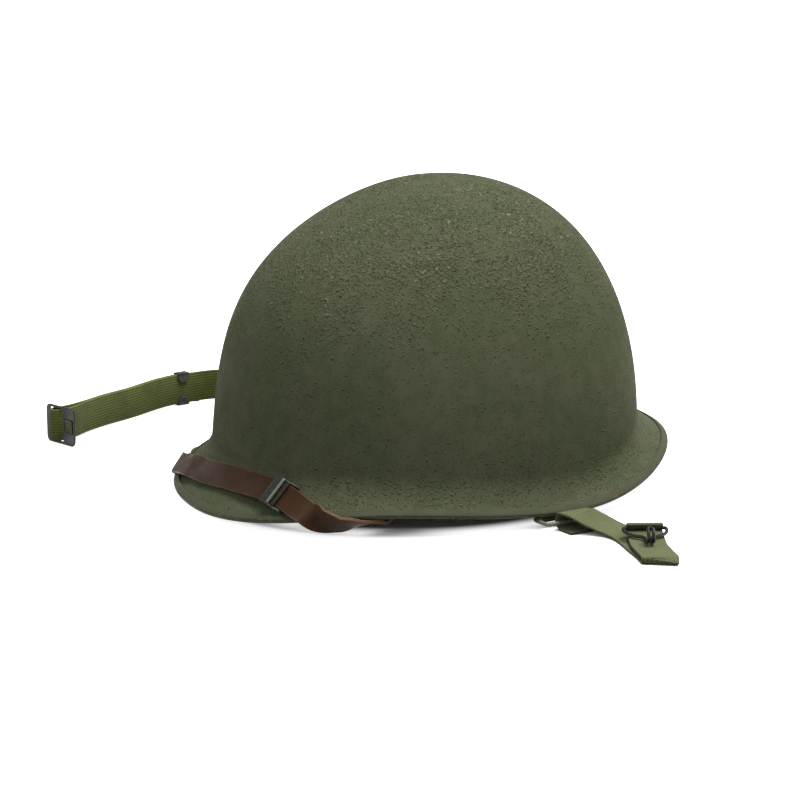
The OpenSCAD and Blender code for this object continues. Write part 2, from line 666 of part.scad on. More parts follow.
// The lace runs straight through each strap's loop and turns between them
lace_steps = 48;
function lace_pt(i) =
    let (g = 360 * i / lace_steps, off = ((g + 30) % 60) - 30, r = min(lace_ring_r / cos(off), lace_ring_r * 1.105))
    crown_mid + r * [cos(g), sin(g), 0];
module crown_lace() {
    color([0.6, 0.58, 0.44]) swept([for (i = [0 : lace_steps - 1])
        let (h = unit(lace_pt(i + 1) - lace_pt(i - 1)), side = cross([0, 0, 1], h))
        [for (k = [0 : 5]) lace_pt(i) + lace_r * (cos(60 * k) * side + sin(60 * k) * [0, 0, 1])]], true);
}

module anchor_washers() {
    color([0.5, 0.5, 0.46]) for (a = anchors) at_wall(a, band_z(a), washer_in)
        linear_extrude(height = washer_t) difference() {
            polygon([[-8, -7], [8, -7], [3, 10], [-3, 10]]);
            circle(r = rivet_d / 2 + seat_gap / 2, $fn = 32);
        }
}
// Rivet from the liner's outer face, through what lies between its heads
module rivet(a, z, grip) {
    at_wall(a, z, liner_out) {
        translate([0, 0, -rivet_head_t - seat_gap]) cylinder(h = rivet_head_t, r = rivet_d, $fn = 32);
        translate([0, 0, -seat_gap - rivet_head_t / 2]) cylinder(h = grip + rivet_head_t, r = rivet_d / 2, $fn = 32);
        translate([0, 0, grip]) cylinder(h = rivet_head_t, r = rivet_d, $fn = 32);
    }
}
module suspension_rivets() {
    color([0.45, 0.46, 0.4]) for (a = anchors) rivet(a, band_z(a), crown_in + susp_t + seat_gap - liner_out);
}

// Spring clips between the suspension band and the sweatband
clip_angles = [30, 90, 150, 210, 270, 330];
module sweatband_clips() {
    from = band_in + susp_t + flat_gap / 2 + 0.1;
    reach = sweat_in - soft_gap - from;
    leaf = 0.6;
    w = 12;
    color([0.3, 0.3, 0.28]) for (a = clip_angles) at_wall(a, sweat_z(a) + 3, from) translate([-w / 2, -w / 2, 0]) {
        cube([w, w, leaf]);
        cube([w, leaf, reach]);
        translate([0, 0, reach - leaf]) cube([w, 9, leaf]);
    }
}
// Size buckle of the sweatband, at the rear left
module sweatband_buckle() {
    a = 68;
    color([0.3, 0.3, 0.28]) at_wall(a, sweat_z(a), sweat_in + sweat_t + flat_gap + 0.3) difference() {
        translate([-9, -11, 0]) cube([18, 22, 1]);
        for (x = [-7, 2]) translate([x, -9, -1]) cube([5, 18, 3]);
    }
}

// Nape strap across the back of the neck. Stops are [angle, height, depth inside the liner].
nape_route = [[36, 36, 0.7], [42, 35, 0.7], [52, 31, 3], [63, 27.5, 7], [76, 25, 10], [90, 24.5, 11]];
function nape_stop(a, z, depth) = [wall_pt(a, z, liner_in + soft_gap + susp_t / 2 + depth), [0, 0, 1]];
module nape_strap() {
    color([0.5, 0.49, 0.35]) difference() {
        ribbon(concat([for (p = nape_route) nape_stop(p[0], p[1], p[2])],
                      [for (i = [4 : -1 : 0]) nape_stop(180 - nape_route[i][0], nape_route[i][1], nape_route[i][2])]),
               nape_w, susp_t, 2);
        for (a = nape_ends) wall_hole(a, nape_end_z, rivet_d / 2);
    }
}
module nape_rivets() {
    color([0.45, 0.46, 0.4]) for (a = nape_ends) rivet(a, nape_end_z, liner_t + soft_gap + susp_t + 1.1);
}

// Studs inside the liner and the clips of the leather strap
clip_l = 16;
clip_tilt = 35;
clip_up = 1.7;
clip_t = 1;
module liner_stud(left) {
    side(left) color([0.5, 0.47, 0.36]) at_wall(stud_a, stud_z, liner_in) {
        translate([0, 0, -liner_t - seat_gap - 0.6]) cylinder(h = 0.6, r = 3.4, $fn = 32);
        translate([0, 0, -liner_t - 0.4]) cylinder(h = liner_t + 3.6, r = stud_r, $fn = 32);
        translate([0, 0, flat_gap / 2]) cylinder(h = 0.6, r = 3.4, $fn = 32);
        translate([0, 0, clip_up + clip_t + 0.4]) cylinder(h = 1, r = 3, $fn = 32);
    }
}
module left_liner_stud() liner_stud(true);
module right_liner_stud() liner_stud(false);
module strap_clip(left) {
    side(left) color([0.16, 0.16, 0.15]) at_wall(stud_a, stud_z, liner_in + clip_up) rotate([0, 0, -clip_tilt])
        linear_extrude(height = clip_t) difference() {
            translate([-5, -leather_w / 2]) rounded_plate(clip_l, leather_w, 2);
            circle(r = stud_r + seat_gap, $fn = 32);
            translate([-leather_w, -1.1]) square([leather_w, 2.2]);
            translate([clip_l - 9, -leather_w / 2 + 2]) square([2.4, leather_w - 4]);
        }
}
module left_strap_clip() strap_clip(true);
module right_strap_clip() strap_clip(false);

// Leather strap: along the visor, over the rim on each side, under it and up to its clips
leather_lift = leather_t / 2 + soft_gap;
function brim_normal(a, v) = unit(cross(brim_pt(a, v + 0.05) - brim_pt(a, v - 0.05),
                                        brim_pt(a + 0.5, v) - brim_pt(a - 0.5, v)));
function on_brim(a, v, lift) = brim_pt(a, v) + brim_normal(a, v) * lift;
function up_brim(a, v) = unit(brim_pt(a, v - 0.05) - brim_pt(a, v + 0.05));
// Stops on the visor: angle, share of the brim, lift off the paint, lean of the upper edge
near_visor = [[-90, 0.6, 1.5, 0.2], [-84, 0.54, 1.3, 0.18], [-78, 0.495, 1.1, 0.1], [-72, 0.48, 1.1, 0],
              [-66, 0.49, 1.6, -0.05], [-61, 0.52, 2.4, -0.05], [-56, 0.6, 2.3, 0], [-52, 0.7, 2, 0],
              [-48, 0.825, 1.7, -0.05], [-44.5, 0.935, 1.6, -0.1]];
far_visor = [[-96, 0.65, 1.6, 0.15], [-102, 0.715, 1.8, 0], [-107.5, 0.785, 2.3, -0.1],
             [-112.5, 0.86, 2.6, -0.1]];
// Stops at the rim: angle, out from it, up from it, then the width's share along, out and up
near_rim = [[-41.8, 1.8, 1.8, 0, -0.5, 0.85], [-39, 2.6, -1, 0, 0.35, 0.94], [-36, -0.5, -3.8, 0, 0.82, 0.57],
            [-33, -4.5, -4.3, 0, 0.96, 0.28], [-30, -7.6, -4.4, 0, 0.99, 0.12]];
far_rim = [[-116.8, 0.2, 4.3, 0.7, -0.6, 0.35], [-118.6, 2.7, 2.3, 0.95, -0.2, 0.1],
           [-119.9, 3.7, -0.8, 0.95, 0.2, 0.08], [-120.8, 0.9, -4, 0.85, 0.45, 0.09],
           [-122, -6, -3.5, 0.75, 0.6, 0]];
// A point set in from the widest part of the rim
function inside_rim(in, y, up) = [rim_w / 2 - in, y, up];
near_under = [[inside_rim(22.5, -60.5, 8), [1, 0.15, 0.15]]];
far_under = [[inside_rim(30, -84, 5), [0.92, -0.3, 0]], [inside_rim(27, -68, 5.6), [1, 0, 0.05]]];
to_clip = [
    [inside_rim(28, -52, 8.4), [0.9, 0, 0.4]],
    [inside_rim(26.8, -41, 13.5), [0.5, 0, 0.87]],
    [inside_rim(23, -32, 19.3), [0.22, -0.3, 0.93]],
    [inside_rim(19.7, -26.3, 23.3), [0.08, -0.45, 0.89]]
];
function visor_stop(s) =
    [on_brim(s[0], s[1], leather_lift + s[2]), up_brim(s[0], s[1]) + s[3] * brim_normal(s[0], s[1])];
function rim_stop(s) =
    let (
        o = brim_pt(s[0], 1) - brim_pt(s[0], 0.9),
        out = unit([o[0], o[1], 0]),
        b = rim_pt(s[0] - 1) - rim_pt(s[0] + 1),
        along = unit([b[0], b[1], 0])
    )
    [rim_pt(s[0]) + out * s[1] + [0, 0, s[2]], s[3] * along + s[4] * out + [0, 0, s[5]]];
function other_side(s) = [[-s[0][0], s[0][1], s[0][2]], [-s[1][0], s[1][1], s[1][2]]];
near_half = concat([for (s = near_visor) visor_stop(s)], [for (s = near_rim) rim_stop(s)], near_under, to_clip);
far_half = concat([for (s = far_visor) visor_stop(s)], [for (s = far_rim) rim_stop(s)],
                  [for (s = concat(far_under, to_clip)) other_side(s)]);
module liner_strap() {
    color([0.27, 0.18, 0.13]) ribbon(concat(turned(far_half), near_half), leather_w, leather_t, 2);
}

// Sliding buckle: a front plate, rails along both edges and a bar behind the strap
buckle_i = 6;
module liner_strap_buckle() {
    l = 12;
    t = 0.8;
    side_slack = 0.6;
    slack = 1.05;
    w = leather_w + 2 * side_slack;
    h = leather_t + 2 * slack;
    stops = [for (s = near_visor) visor_stop(s)[0]];
    run = unit(stops[buckle_i + 1] - stops[buckle_i - 1]);
    n = brim_normal(near_visor[buckle_i][0], near_visor[buckle_i][1]);
    out = unit(n - run * (n * run));
    p = stops[buckle_i] + out * 0.45;
    color([0.16, 0.16, 0.15]) placed(p, run, cross(out, run), out) difference() {
        translate([-l / 2, -w / 2 - t, -h / 2 - t]) cube([l, w + 2 * t, h + 2 * t]);
        translate([-l, -w / 2, -h / 2]) cube([2 * l, w, h]);
        translate([2 - l / 2, -w / 2 + 2, -h]) cube([l - 4, w - 4, h]);
    }
}

steel_shell();
rim_edging();
left_loop_bracket();
right_loop_bracket();
left_swivel_loop();
right_swivel_loop();
hook_strap();
strap_hook();
buckle_strap();
chin_buckle();
strap_keeper();
liner_shell();
front_eyelet();
suspension_band();
crown_straps();
crown_lace();
anchor_washers();
suspension_rivets();
sweatband();
sweatband_clips();
sweatband_buckle();
nape_strap();
nape_rivets();
left_liner_stud();
right_liner_stud();
left_strap_clip();
right_strap_clip();
liner_strap();
liner_strap_buckle();
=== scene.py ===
"""Models and finishes a steel helmet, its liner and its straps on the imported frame."""

import math

import bmesh
import bpy
import numpy as np
from mathutils import Matrix, Vector


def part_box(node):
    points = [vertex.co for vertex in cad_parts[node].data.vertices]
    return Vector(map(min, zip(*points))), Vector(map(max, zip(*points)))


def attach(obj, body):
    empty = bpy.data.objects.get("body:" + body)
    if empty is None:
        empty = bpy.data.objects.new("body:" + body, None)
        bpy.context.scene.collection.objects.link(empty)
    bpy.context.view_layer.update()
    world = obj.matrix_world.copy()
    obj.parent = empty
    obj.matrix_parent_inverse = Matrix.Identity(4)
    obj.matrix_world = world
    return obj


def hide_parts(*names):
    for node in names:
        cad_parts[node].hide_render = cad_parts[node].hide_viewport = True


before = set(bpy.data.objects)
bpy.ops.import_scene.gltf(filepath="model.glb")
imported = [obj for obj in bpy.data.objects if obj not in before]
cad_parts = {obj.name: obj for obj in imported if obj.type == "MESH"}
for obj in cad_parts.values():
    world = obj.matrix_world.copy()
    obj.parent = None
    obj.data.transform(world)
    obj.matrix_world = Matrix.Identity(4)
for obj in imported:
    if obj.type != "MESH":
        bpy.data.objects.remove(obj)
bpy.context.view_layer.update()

bl_info = {
    "name": "Steel helmet",
    "version": (1, 0, 0),
    "blender": (4, 5, 0),
    "location": "View3D > Sidebar > Helmet",
    "description": "Models and finishes a steel helmet with its liner and straps",
    "category": "Add Mesh",
}

MM = 0.001
RIM_HALF = 0.119
RIM_REAR = 0.141
BOWL_HALF = 0.1108
BOWL_REAR = 0.1199
STEEL = 0.0011
CROWN_HEIGHT = float(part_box("steel_shell")[1][2])
MIRROR = np.array([-1.0, 1.0, 1.0])
UP = np.array([0.0, 0.0, 1.0])


# Vectors and curves

def unit(v):
    """Vectors of length one, along the last axis."""
    v = np.asarray(v, float)
    return v / np.maximum(np.linalg.norm(v, axis=-1, keepdims=True), 1e-12)


def signed_power(v, exponent):
    """Power of a value's size, with the value's sign."""
    return np.sign(v) * np.maximum(np.abs(v), 1e-9) ** exponent


def smooth_path(points, steps):
    """A smooth curve through the points, with the given number of steps between them."""
    p = np.asarray(points, float)
    last = len(p) - 1
    curve = []
    for i in range(last):
        a, b, c, d = p[max(i - 1, 0)], p[i], p[i + 1], p[min(i + 2, last)]
        for f in np.arange(steps) / steps:
            bend = (2 * a - 5 * b + 4 * c - d) * f ** 2 + (3 * b - a - 3 * c + d) * f ** 3
            curve.append(0.5 * (2 * b + (c - a) * f + bend))
    curve.append(p[last])
    return np.array(curve)


def headings(path, closed=False):
    """Direction of the path at each of its points."""
    if closed:
        return unit(np.roll(path, -1, axis=0) - np.roll(path, 1, axis=0))
    ahead = np.vstack([path[1:], path[-1:]])
    behind = np.vstack([path[:1], path[:-1]])
    return unit(ahead - behind)


def along_lengths(path):
    """Distance of each point from the start of the path."""
    return np.concatenate([[0], np.cumsum(np.linalg.norm(np.diff(path, axis=0), axis=1))])


# Shape of the steel shell, the same as the frame's, in metres and degrees

class Bowl:
    """Outer face of the steel shell: a bowl, a fold and a brim round it.

    Angles a run in degrees from the wearer's left, s is their sine, and powers above 2 square a curve.
    """

    rim_heights = (0, 9.9, 10.4, 5.9, 9.7, 24)
    rim_powers = (2.21, 2.11)
    edge_lift = 1.92 * MM
    plan_power = 2.2
    liner_lift = 7 * MM

    def __init__(self, sizes):
        self.rim = (sizes.rim_half_width, sizes.rim_front, sizes.rim_rear)
        self.reach = (sizes.bowl_half_width, sizes.bowl_front, sizes.bowl_rear)
        self.crown_height = sizes.crown_height
        self.crown_back = sizes.crown_back
        self.steel = sizes.steel_thickness

    @staticmethod
    def plan(a, reach, exponent):
        """Point of an egg-shaped outline at angle a."""
        s = np.sin(np.radians(a))
        c = np.cos(np.radians(a))
        half, front, rear = reach
        return (half * signed_power(c, 2 / exponent),
                np.where(s < 0, front, rear) * signed_power(s, 2 / exponent))

    @staticmethod
    def ends(s, side, front, rear, power):
        """A value that runs from the sides to the front and to the rear."""
        return side + (np.where(s < 0, front, rear) - side) * np.abs(s) ** power

    @classmethod
    def rim_height(cls, s):
        """Height of the rim: one smooth curve through six heights in millimetres, front to rear."""
        stops = (-1, -0.6, -0.2, 0.2, 0.6, 1)
        total = 0 * s
        for k, stop in enumerate(stops):
            weight = 1 + 0 * s
            for other in stops[:k] + stops[k + 1:]:
                weight = weight * (s - other) / (stop - other)
            total = total + weight * cls.rim_heights[k] * MM
        return total

    def rim_point(self, a):
        s = np.sin(np.radians(a))
        x, y = self.plan(a, self.rim, np.where(s < 0, *self.rim_powers))
        return np.stack([x, y, self.rim_height(s) + self.edge_lift + 0 * x], -1)

    def base(self, s):
        """Height at which the bowl's curve starts."""
        return self.ends(s, 20 * MM, 10 * MM, 0, 2)

    @staticmethod
    def height_power(s):
        """Power of the wall's curve, squarer towards the front."""
        return 2.39 + 1.39 * np.where(s < 0, s * s, 0)

    def share_point(self, a, t):
        """Point of the bowl at angle a and height share t."""
        s = np.sin(np.radians(a))
        reach_power = 2.22 - 0.79 * np.where(s < 0, s * s, 0)
        c = np.maximum(1 - t ** self.height_power(s), 0) ** (1 / reach_power)
        x, y = self.plan(a, [r * c for r in self.reach], self.plan_power)
        b = self.base(s)
        return np.stack([x, y + self.crown_back * t, b + (self.crown_height - b) * t], -1)

    def point(self, a, z):
        """Point of the bowl at a height; under its base the wall runs straight down."""
        a = np.asarray(a, float)
        b = self.base(np.sin(np.radians(a)))
        p = self.share_point(a, np.clip((z - b) / (self.crown_height - b), 0, 1))
        p[..., 2] = z
        return p

    def fold_height(self, a):
        """Height of the crease between the wall and the brim."""
        s = np.sin(np.radians(a))
        return self.rim_height(s) + self.ends(s, 10 * MM, 21 * MM, 13 * MM, 4)

    def bend_height(self, a):
        """Height at which the wall starts to turn out into the brim."""
        return self.fold_height(a) + self.ends(np.sin(np.radians(a)), 12 * MM, 7 * MM, 7 * MM, 4)

    def brim(self, a, v):
        """Point of the brim: v runs from the wall, 0, over the fold to the rim, 1."""
        a, v = np.broadcast_arrays(np.asarray(a, float), np.asarray(v, float))
        w = 1 - v
        v, w = v[..., None], w[..., None]
        high = self.point(a, self.bend_height(a))
        fold = self.point(a, self.fold_height(a))
        return w * w * high + 2 * w * v * fold + v * v * self.rim_point(a)

    def bowl_rows(self, a, count):
        """Rows of points from just under the crown to where the brim starts."""
        s = np.sin(np.radians(a))
        b = self.base(s)
        power = self.height_power(s)
        start = (self.bend_height(a) - b) / (self.crown_height - b)
        low = np.degrees(np.arcsin(start ** (power / 2)))
        rows = []
        for j in range(1, count + 1):
            angle = 90 - (90 - low) * j / count
            rows.append(self.share_point(a, np.sin(np.radians(angle)) ** (2 / power)))
        return rows

    def steel_rows(self, a, bowl_count, brim_count):
        """Rows for the steel, down the bowl and out over the brim."""
        brim_rows = [self.brim(a, j / brim_count) for j in range(1, brim_count + 1)]
        return np.array(self.bowl_rows(a, bowl_count) + brim_rows)

    def liner_rows(self, a, bowl_count, skirt_count):
        """Rows for the liner, which hangs straight at the sides and follows the ends."""
        s = np.sin(np.radians(a))
        low = self.rim_height(s) + self.liner_lift
        lip = self.ends(s, 0, 0.62, 0.45, 4)[:, None]
        rows = self.bowl_rows(a, bowl_count)
        for j in range(1, skirt_count + 1):
            v = j / skirt_count
            bend = self.bend_height(a)
            wall = self.point(a, bend + (low - bend) * v)
            rows.append((1 - lip) * wall + lip * self.brim(a, v * np.where(s < 0, 0.8, 0.7)))
        return np.array(rows)

    def crown(self):
        return np.array([0, self.crown_back, self.crown_height])

    def wall_along(self, a, z):
        return unit(self.point(a + 1, z) - self.point(a - 1, z))

    def wall_inward(self, a, z):
        up = self.point(a, z + 4 * MM) - self.point(a, z - 4 * MM)
        return unit(np.cross(up, self.wall_along(a, z)))

    def wall(self, a, z, depth):
        """Point at a depth under the bowl's face."""
        return self.point(a, z) + depth * self.wall_inward(a, z)

    def brim_normal(self, a, v):
        down = self.brim(a, v + 0.05) - self.brim(a, v - 0.05)
        along = self.brim(a + 0.5, v) - self.brim(a - 0.5, v)
        return unit(np.cross(down, along))


# Meshes

def new_object(name, mesh):
    piece = bpy.data.objects.new(name, mesh)
    bpy.context.scene.collection.objects.link(piece)
    return piece


def grid_faces(rows, columns, close_rows, close_columns):
    """Quads of a grid of points that may close on itself either way."""
    faces = []
    for i in range(rows if close_rows else rows - 1):
        for k in range(columns if close_columns else columns - 1):
            a = i * columns + k
            b = i * columns + (k + 1) % columns
            c = ((i + 1) % rows) * columns
            faces.append((a, b, c + (k + 1) % columns, c + k))
    return faces


def set_attribute(mesh, name, values):
    attribute = mesh.attributes.new(name, "FLOAT", "POINT")
    attribute.data.foreach_set("value", np.asarray(values, np.float32))


def get_points(mesh):
    points = np.zeros(len(mesh.vertices) * 3)
    mesh.vertices.foreach_get("co", points)
    return points.reshape(-1, 3)


def set_points(mesh, points):
    mesh.vertices.foreach_set("co", points.ravel())


def shown_mesh(piece):
    """A piece's mesh with its modifiers applied."""
    evaluated = piece.evaluated_get(bpy.context.evaluated_depsgraph_get())
    return bpy.data.meshes.new_from_object(evaluated)


def mesh_from(name, points, faces, smooth=True):
    mesh = bpy.data.meshes.new(name)
    mesh.from_pydata(np.asarray(points).reshape(-1, 3).tolist(), [], faces)
    mesh.polygons.foreach_set("use_smooth", [smooth] * len(mesh.polygons))
    mesh.update()
    return mesh


def outward(mesh):
    """Turn every face of a closed mesh outwards."""
    work = bmesh.new()
    work.from_mesh(mesh)
    bmesh.ops.recalc_face_normals(work, faces=work.faces)
    if work.calc_volume(signed=True) < 0:
        bmesh.ops.reverse_faces(work, faces=work.faces)
    work.to_mesh(mesh)
    work.free()


def row_normals(rows, crown):
    """Outward directions of a bowl's grid of rows."""
    padded = np.concatenate([np.broadcast_to(crown, rows[:1].shape), rows, rows[-1:]])
    down = padded[2:] - padded[:-2]
    across = np.roll(rows, -1, axis=1) - np.roll(rows, 1, axis=1)
    return unit(np.cross(down, across))


def shell_mesh(name, rows, crown, outer, inner):
    """Closed shell between two depths under a bowl's grid of rows."""
    normals = row_normals(rows, crown)
    count, around = rows.shape[:2]
    outside = rows - outer * normals
    inside = rows - inner * normals
    points = np.concatenate([outside.reshape(-1, 3), inside.reshape(-1, 3),
                             [crown - outer * UP], [crown - inner * UP]])
    half = count * around
    top, under = 2 * half, 2 * half + 1
    wall = grid_faces(count, around, False, True)
    faces = list(wall)
    faces += [(d + half, c + half, b + half, a + half) for a, b, c, d in wall]
    for k in range(around):
        n = (k + 1) % around
        edge = half - around
        faces.append((top, n, k))
        faces.append((under, half + k, half + n))
        faces.append((edge + k, edge + n, half + edge + n, half + edge + k))
    mesh = mesh_from(name, points, faces)
    outward(mesh)
    return mesh


def rounded_section(width, thickness, radius, corner_steps=3, across=0):
    """Outline of a strap's section: a rounded rectangle, with points across its wide faces."""
    section = []
    for corner, (sx, sy) in enumerate(((1, 1), (-1, 1), (-1, -1), (1, -1))):
        for k in range(corner_steps + 1):
            angle = math.radians(90 * (corner + k / corner_steps))
            section.append((sx * (width / 2 - radius) + radius * math.cos(angle),
                            sy * (thickness / 2 - radius) + radius * math.sin(angle)))
        if sx == sy and across:
            places = np.linspace(sx, -sx, across) * (width / 2 - 1.6 * radius)
            section += [(x, sy * thickness / 2) for x in places]
    return np.array(section)


def sweep(name, path, sides, normals, section, closed=False):
    """Sweep a section along a path. UVs are in metres: along the path, then round the section."""
    rings = (path[:, None] + section[None, :, :1] * sides[:, None]
             + section[None, :, 1:] * normals[:, None])
    count, around = rings.shape[:2]
    faces = grid_faces(count, around, closed, True)
    length = along_lengths(path)
    ring_length = along_lengths(np.vstack([section, section[:1]]))
    if not closed:
        faces.append(tuple(range(around - 1, -1, -1)))
        faces.append(tuple(range((count - 1) * around, count * around)))
    mesh = mesh_from(name, rings, faces)
    layer = mesh.uv_layers.new(name="UVMap")
    span = length[-1] + (np.linalg.norm(path[0] - path[-1]) if closed else 0)
    for polygon in mesh.polygons:
        for corner, vertex in zip(polygon.loop_indices, polygon.vertices):
            i, k = divmod(vertex, around)
            u, v = length[i], ring_length[k]
            if polygon.index < count * around:
                first_row, first_column = divmod(polygon.index, around)
                u = span if closed and first_row == count - 1 and i == 0 else u
                v = ring_length[around] if first_column == around - 1 and k == 0 else v
            layer.data[corner].uv = (u, v)
    outward(mesh)
    return mesh


def sheet_mesh(name, path, side, width, thickness, corner, across=0):
    """Strip of bent sheet metal whose width lies along one direction."""
    sides = np.tile(side, (len(path), 1))
    section = rounded_section(width, thickness, corner, 3, across)
    return sweep(name, path, sides, np.cross(headings(path), sides), section)


def strap_mesh(name, stops, width, thickness, steps, radius=0.35, points=0):
    """Flat strap through stops of [centre, direction across it], with its path and directions."""
    path = smooth_path([s[0] for s in stops], steps)
    across = unit(smooth_path([unit(s[1]) for s in stops], steps))
    ahead = headings(path)
    sides = unit(across - np.sum(across * ahead, axis=1, keepdims=True) * ahead)
    normals = np.cross(ahead, sides)
    section = rounded_section(width, thickness, radius * thickness, 3, points)
    return sweep(name, path, sides, normals, section), path, sides, normals


def tube_mesh(name, path, radius, closed=False, around=16):
    """Round wire along a path."""
    ahead = headings(path, closed)
    side = unit(np.cross(ahead[0], UP if abs(ahead[0][2]) < 0.9 else [1, 0, 0]))
    sides = []
    for direction in ahead:
        side = unit(side - np.dot(side, direction) * direction)
        sides.append(side)
    sides = np.array(sides)
    angles = np.radians(np.arange(around) * 360 / around)
    section = radius * np.stack([np.cos(angles), np.sin(angles)], -1)
    return sweep(name, path, sides, np.cross(ahead, sides), section, closed)


# Finishes

def paint(red, green, blue):
    """Colour for a shader from its 0 to 255 display values."""
    channels = [c / 255 for c in (red, green, blue)]
    return tuple(c / 12.92 if c <= 0.04045 else ((c + 0.055) / 1.055) ** 2.4 for c in channels)


class Finish:
    """A material, whose nodes are added one call at a time."""

    def __init__(self, name, roughness=0.6, metallic=0.0, specular=0.5):
        self.material = bpy.data.materials.new(name)
        self.material.use_nodes = True
        self.tree = self.material.node_tree
        self.shader = self.tree.nodes["Principled BSDF"]
        self.shader.inputs["Roughness"].default_value = roughness
        self.shader.inputs["Metallic"].default_value = metallic
        self.shader.inputs["Specular IOR Level"].default_value = specular

    def node(self, kind, inputs=(), **settings):
        made = self.tree.nodes.new("ShaderNode" + kind)
        for key, value in settings.items():
            setattr(made, key, value)
        for key, value in dict(inputs).items():
            self.feed(made.inputs[key], value)
        return made

    def feed(self, socket, value):
        if isinstance(value, bpy.types.NodeSocket):
            self.tree.links.new(value, socket)
        elif socket.type == "RGBA" and len(value) == 3:
            socket.default_value = (*value, 1)
        else:
            socket.default_value = value

    def math(self, operation, first, second=0.0):
        return self.node("Math", {0: first, 1: second}, operation=operation).outputs[0]

    def times(self, first, second):
        return self.math("MULTIPLY", first, second)

    def plus(self, first, second):
        return self.math("ADD", first, second)

    def larger(self, first, second):
        return self.math("MAXIMUM", first, second)

    def place(self):
        return self.node("TexCoord").outputs["Object"]

    def uv(self):
        """Distance along a strap and round its section, in metres."""
        parts = self.node("SeparateXYZ", {0: self.node("TexCoord").outputs["UV"]})
        return parts.outputs[0], parts.outputs[1]

    def share(self, name):
        return self.node("Attribute", attribute_name=name).outputs["Fac"]

    def moved(self, point, offset):
        return self.node("VectorMath", {0: point, 1: offset}, operation="ADD").outputs[0]

    def stretched(self, point, scale):
        return self.node("VectorMath", {0: point, 1: scale}, operation="MULTIPLY").outputs[0]

    def cloud(self, scale, detail=3.0, point=None, roughness=0.55):
        """Soft noise with the given number of patches to the metre."""
        inputs = {"Vector": point or self.place(), "Scale": scale, "Detail": detail, "Roughness": roughness}
        return self.node("TexNoise", inputs).outputs[0]

    def between(self, value, low, high, start=0.0, end=1.0):
        """A value taken smoothly from start at low to end at high."""
        inputs = {"Value": value, "From Min": low, "From Max": high, "To Min": start, "To Max": end}
        return self.node("MapRange", inputs, interpolation_type="SMOOTHSTEP").outputs[0]

    def mix(self, share, first, second):
        """Blend of two colours; a mix node's colours are its inputs 6 and 7 and its output 2."""
        made = self.node("Mix", data_type="RGBA")
        for index, value in ((0, share), (6, first), (7, second)):
            self.feed(made.inputs[index], tuple(value) if hasattr(value, "__len__") else value)
        return made.outputs[2]

    def finish(self, colour, height=None, depth=0.0003, roughness=None, strength=1.0):
        """Join the colour, the raised pattern and the roughness to the shader."""
        self.feed(self.shader.inputs["Base Color"], colour)
        if roughness is not None:
            self.feed(self.shader.inputs["Roughness"], roughness)
        if height is not None:
            bump = self.node("Bump", {"Height": height, "Distance": depth, "Strength": strength})
            self.feed(self.shader.inputs["Normal"], bump.outputs[0])
        return self.material


def grit_paint(colours):
    """Flat olive paint over ground cork: dense short flecks at the crown, sparse bumps on the flanks, each
    grain with painted shade below it and a painted highlight on its upper side.
    """
    f = Finish("grit_paint", 0.8, 0.0, 0.03)
    place = f.place()
    # The same noise 0.4 mm higher up tells each grain's lower side from its upper side, for the painted
    # shade and the painted highlight.
    above = f.moved(place, (0.0, 0.0, 0.0004))
    patches = f.cloud(40.0, 3.0)
    thick = f.times(f.share("grain"), f.between(patches, 0.3, 0.7, 0.6, 1.4))
    floor = f.math("SUBTRACT", 0.66, f.times(thick, 0.2))

    def lumps(scale, point):
        """Height of the grains in one size, over a floor that sinks where the grit is thick."""
        height = f.math("SUBTRACT", f.cloud(scale, 1.5, point, 0.6), floor)
        return f.between(height, 0.0, 0.09)

    coarse, coarse_above = lumps(560.0, place), lumps(560.0, above)
    fine, fine_above = lumps(1050.0, place), lumps(1050.0, above)
    height = f.larger(coarse, f.times(fine, 0.75))
    height_above = f.larger(coarse_above, f.times(fine_above, 0.75))
    slope = f.math("SUBTRACT", height_above, height)
    tint = f.mix(f.between(f.cloud(24.0, 2.0, f.moved(place, (3, 1, 2))), 0.35, 0.65),
                 colours.olive_paint, colours.olive_green)
    tint = f.mix(f.between(f.cloud(130.0, 4.0), 0.3, 0.75, 0.0, 0.4), tint, colours.olive_dark)
    # Painted highlight: paler on each grain's upper side.
    tint = f.mix(f.between(slope, -0.1, -0.7, 0.0, 0.34), tint, colours.pale_flake_and_highlight)
    # Painted shade: dark under each grain, where the grain just above stands higher.
    tint = f.mix(f.between(slope, 0.05, 0.5, 0.0, 0.72), tint, colours.painted_grain_shade)
    speck = f.times(f.between(height, 0.8, 0.98), f.between(f.cloud(310.0, 1.0), 0.6, 0.68, 0.0, 0.3))
    tint = f.mix(speck, tint, colours.chip)
    relief = f.plus(height, f.times(f.cloud(2400.0, 2.0), 0.12))
    return f.finish(tint, relief, 0.0005, f.between(patches, 0.3, 0.7, 0.72, 0.85), 0.85)


def edge_paint(colours):
    """Smooth olive paint on folded metal, rubbed pale along the outside."""
    f = Finish("edge_paint", 0.6, 0.0, 0.08)
    patches = f.cloud(60.0, 4.0)
    tint = f.mix(f.between(patches, 0.35, 0.7), colours.edge_paint, colours.olive_dark)
    rub = f.times(f.share("worn"), f.between(f.cloud(240.0, 5.0), 0.54, 0.7))
    tint = f.mix(f.times(rub, 0.3), tint, colours.rubbed)
    scuffs = f.cloud(900.0, 3.0)
    return f.finish(tint, scuffs, 0.00012, f.between(patches, 0.3, 0.7, 0.48, 0.66), 0.5)


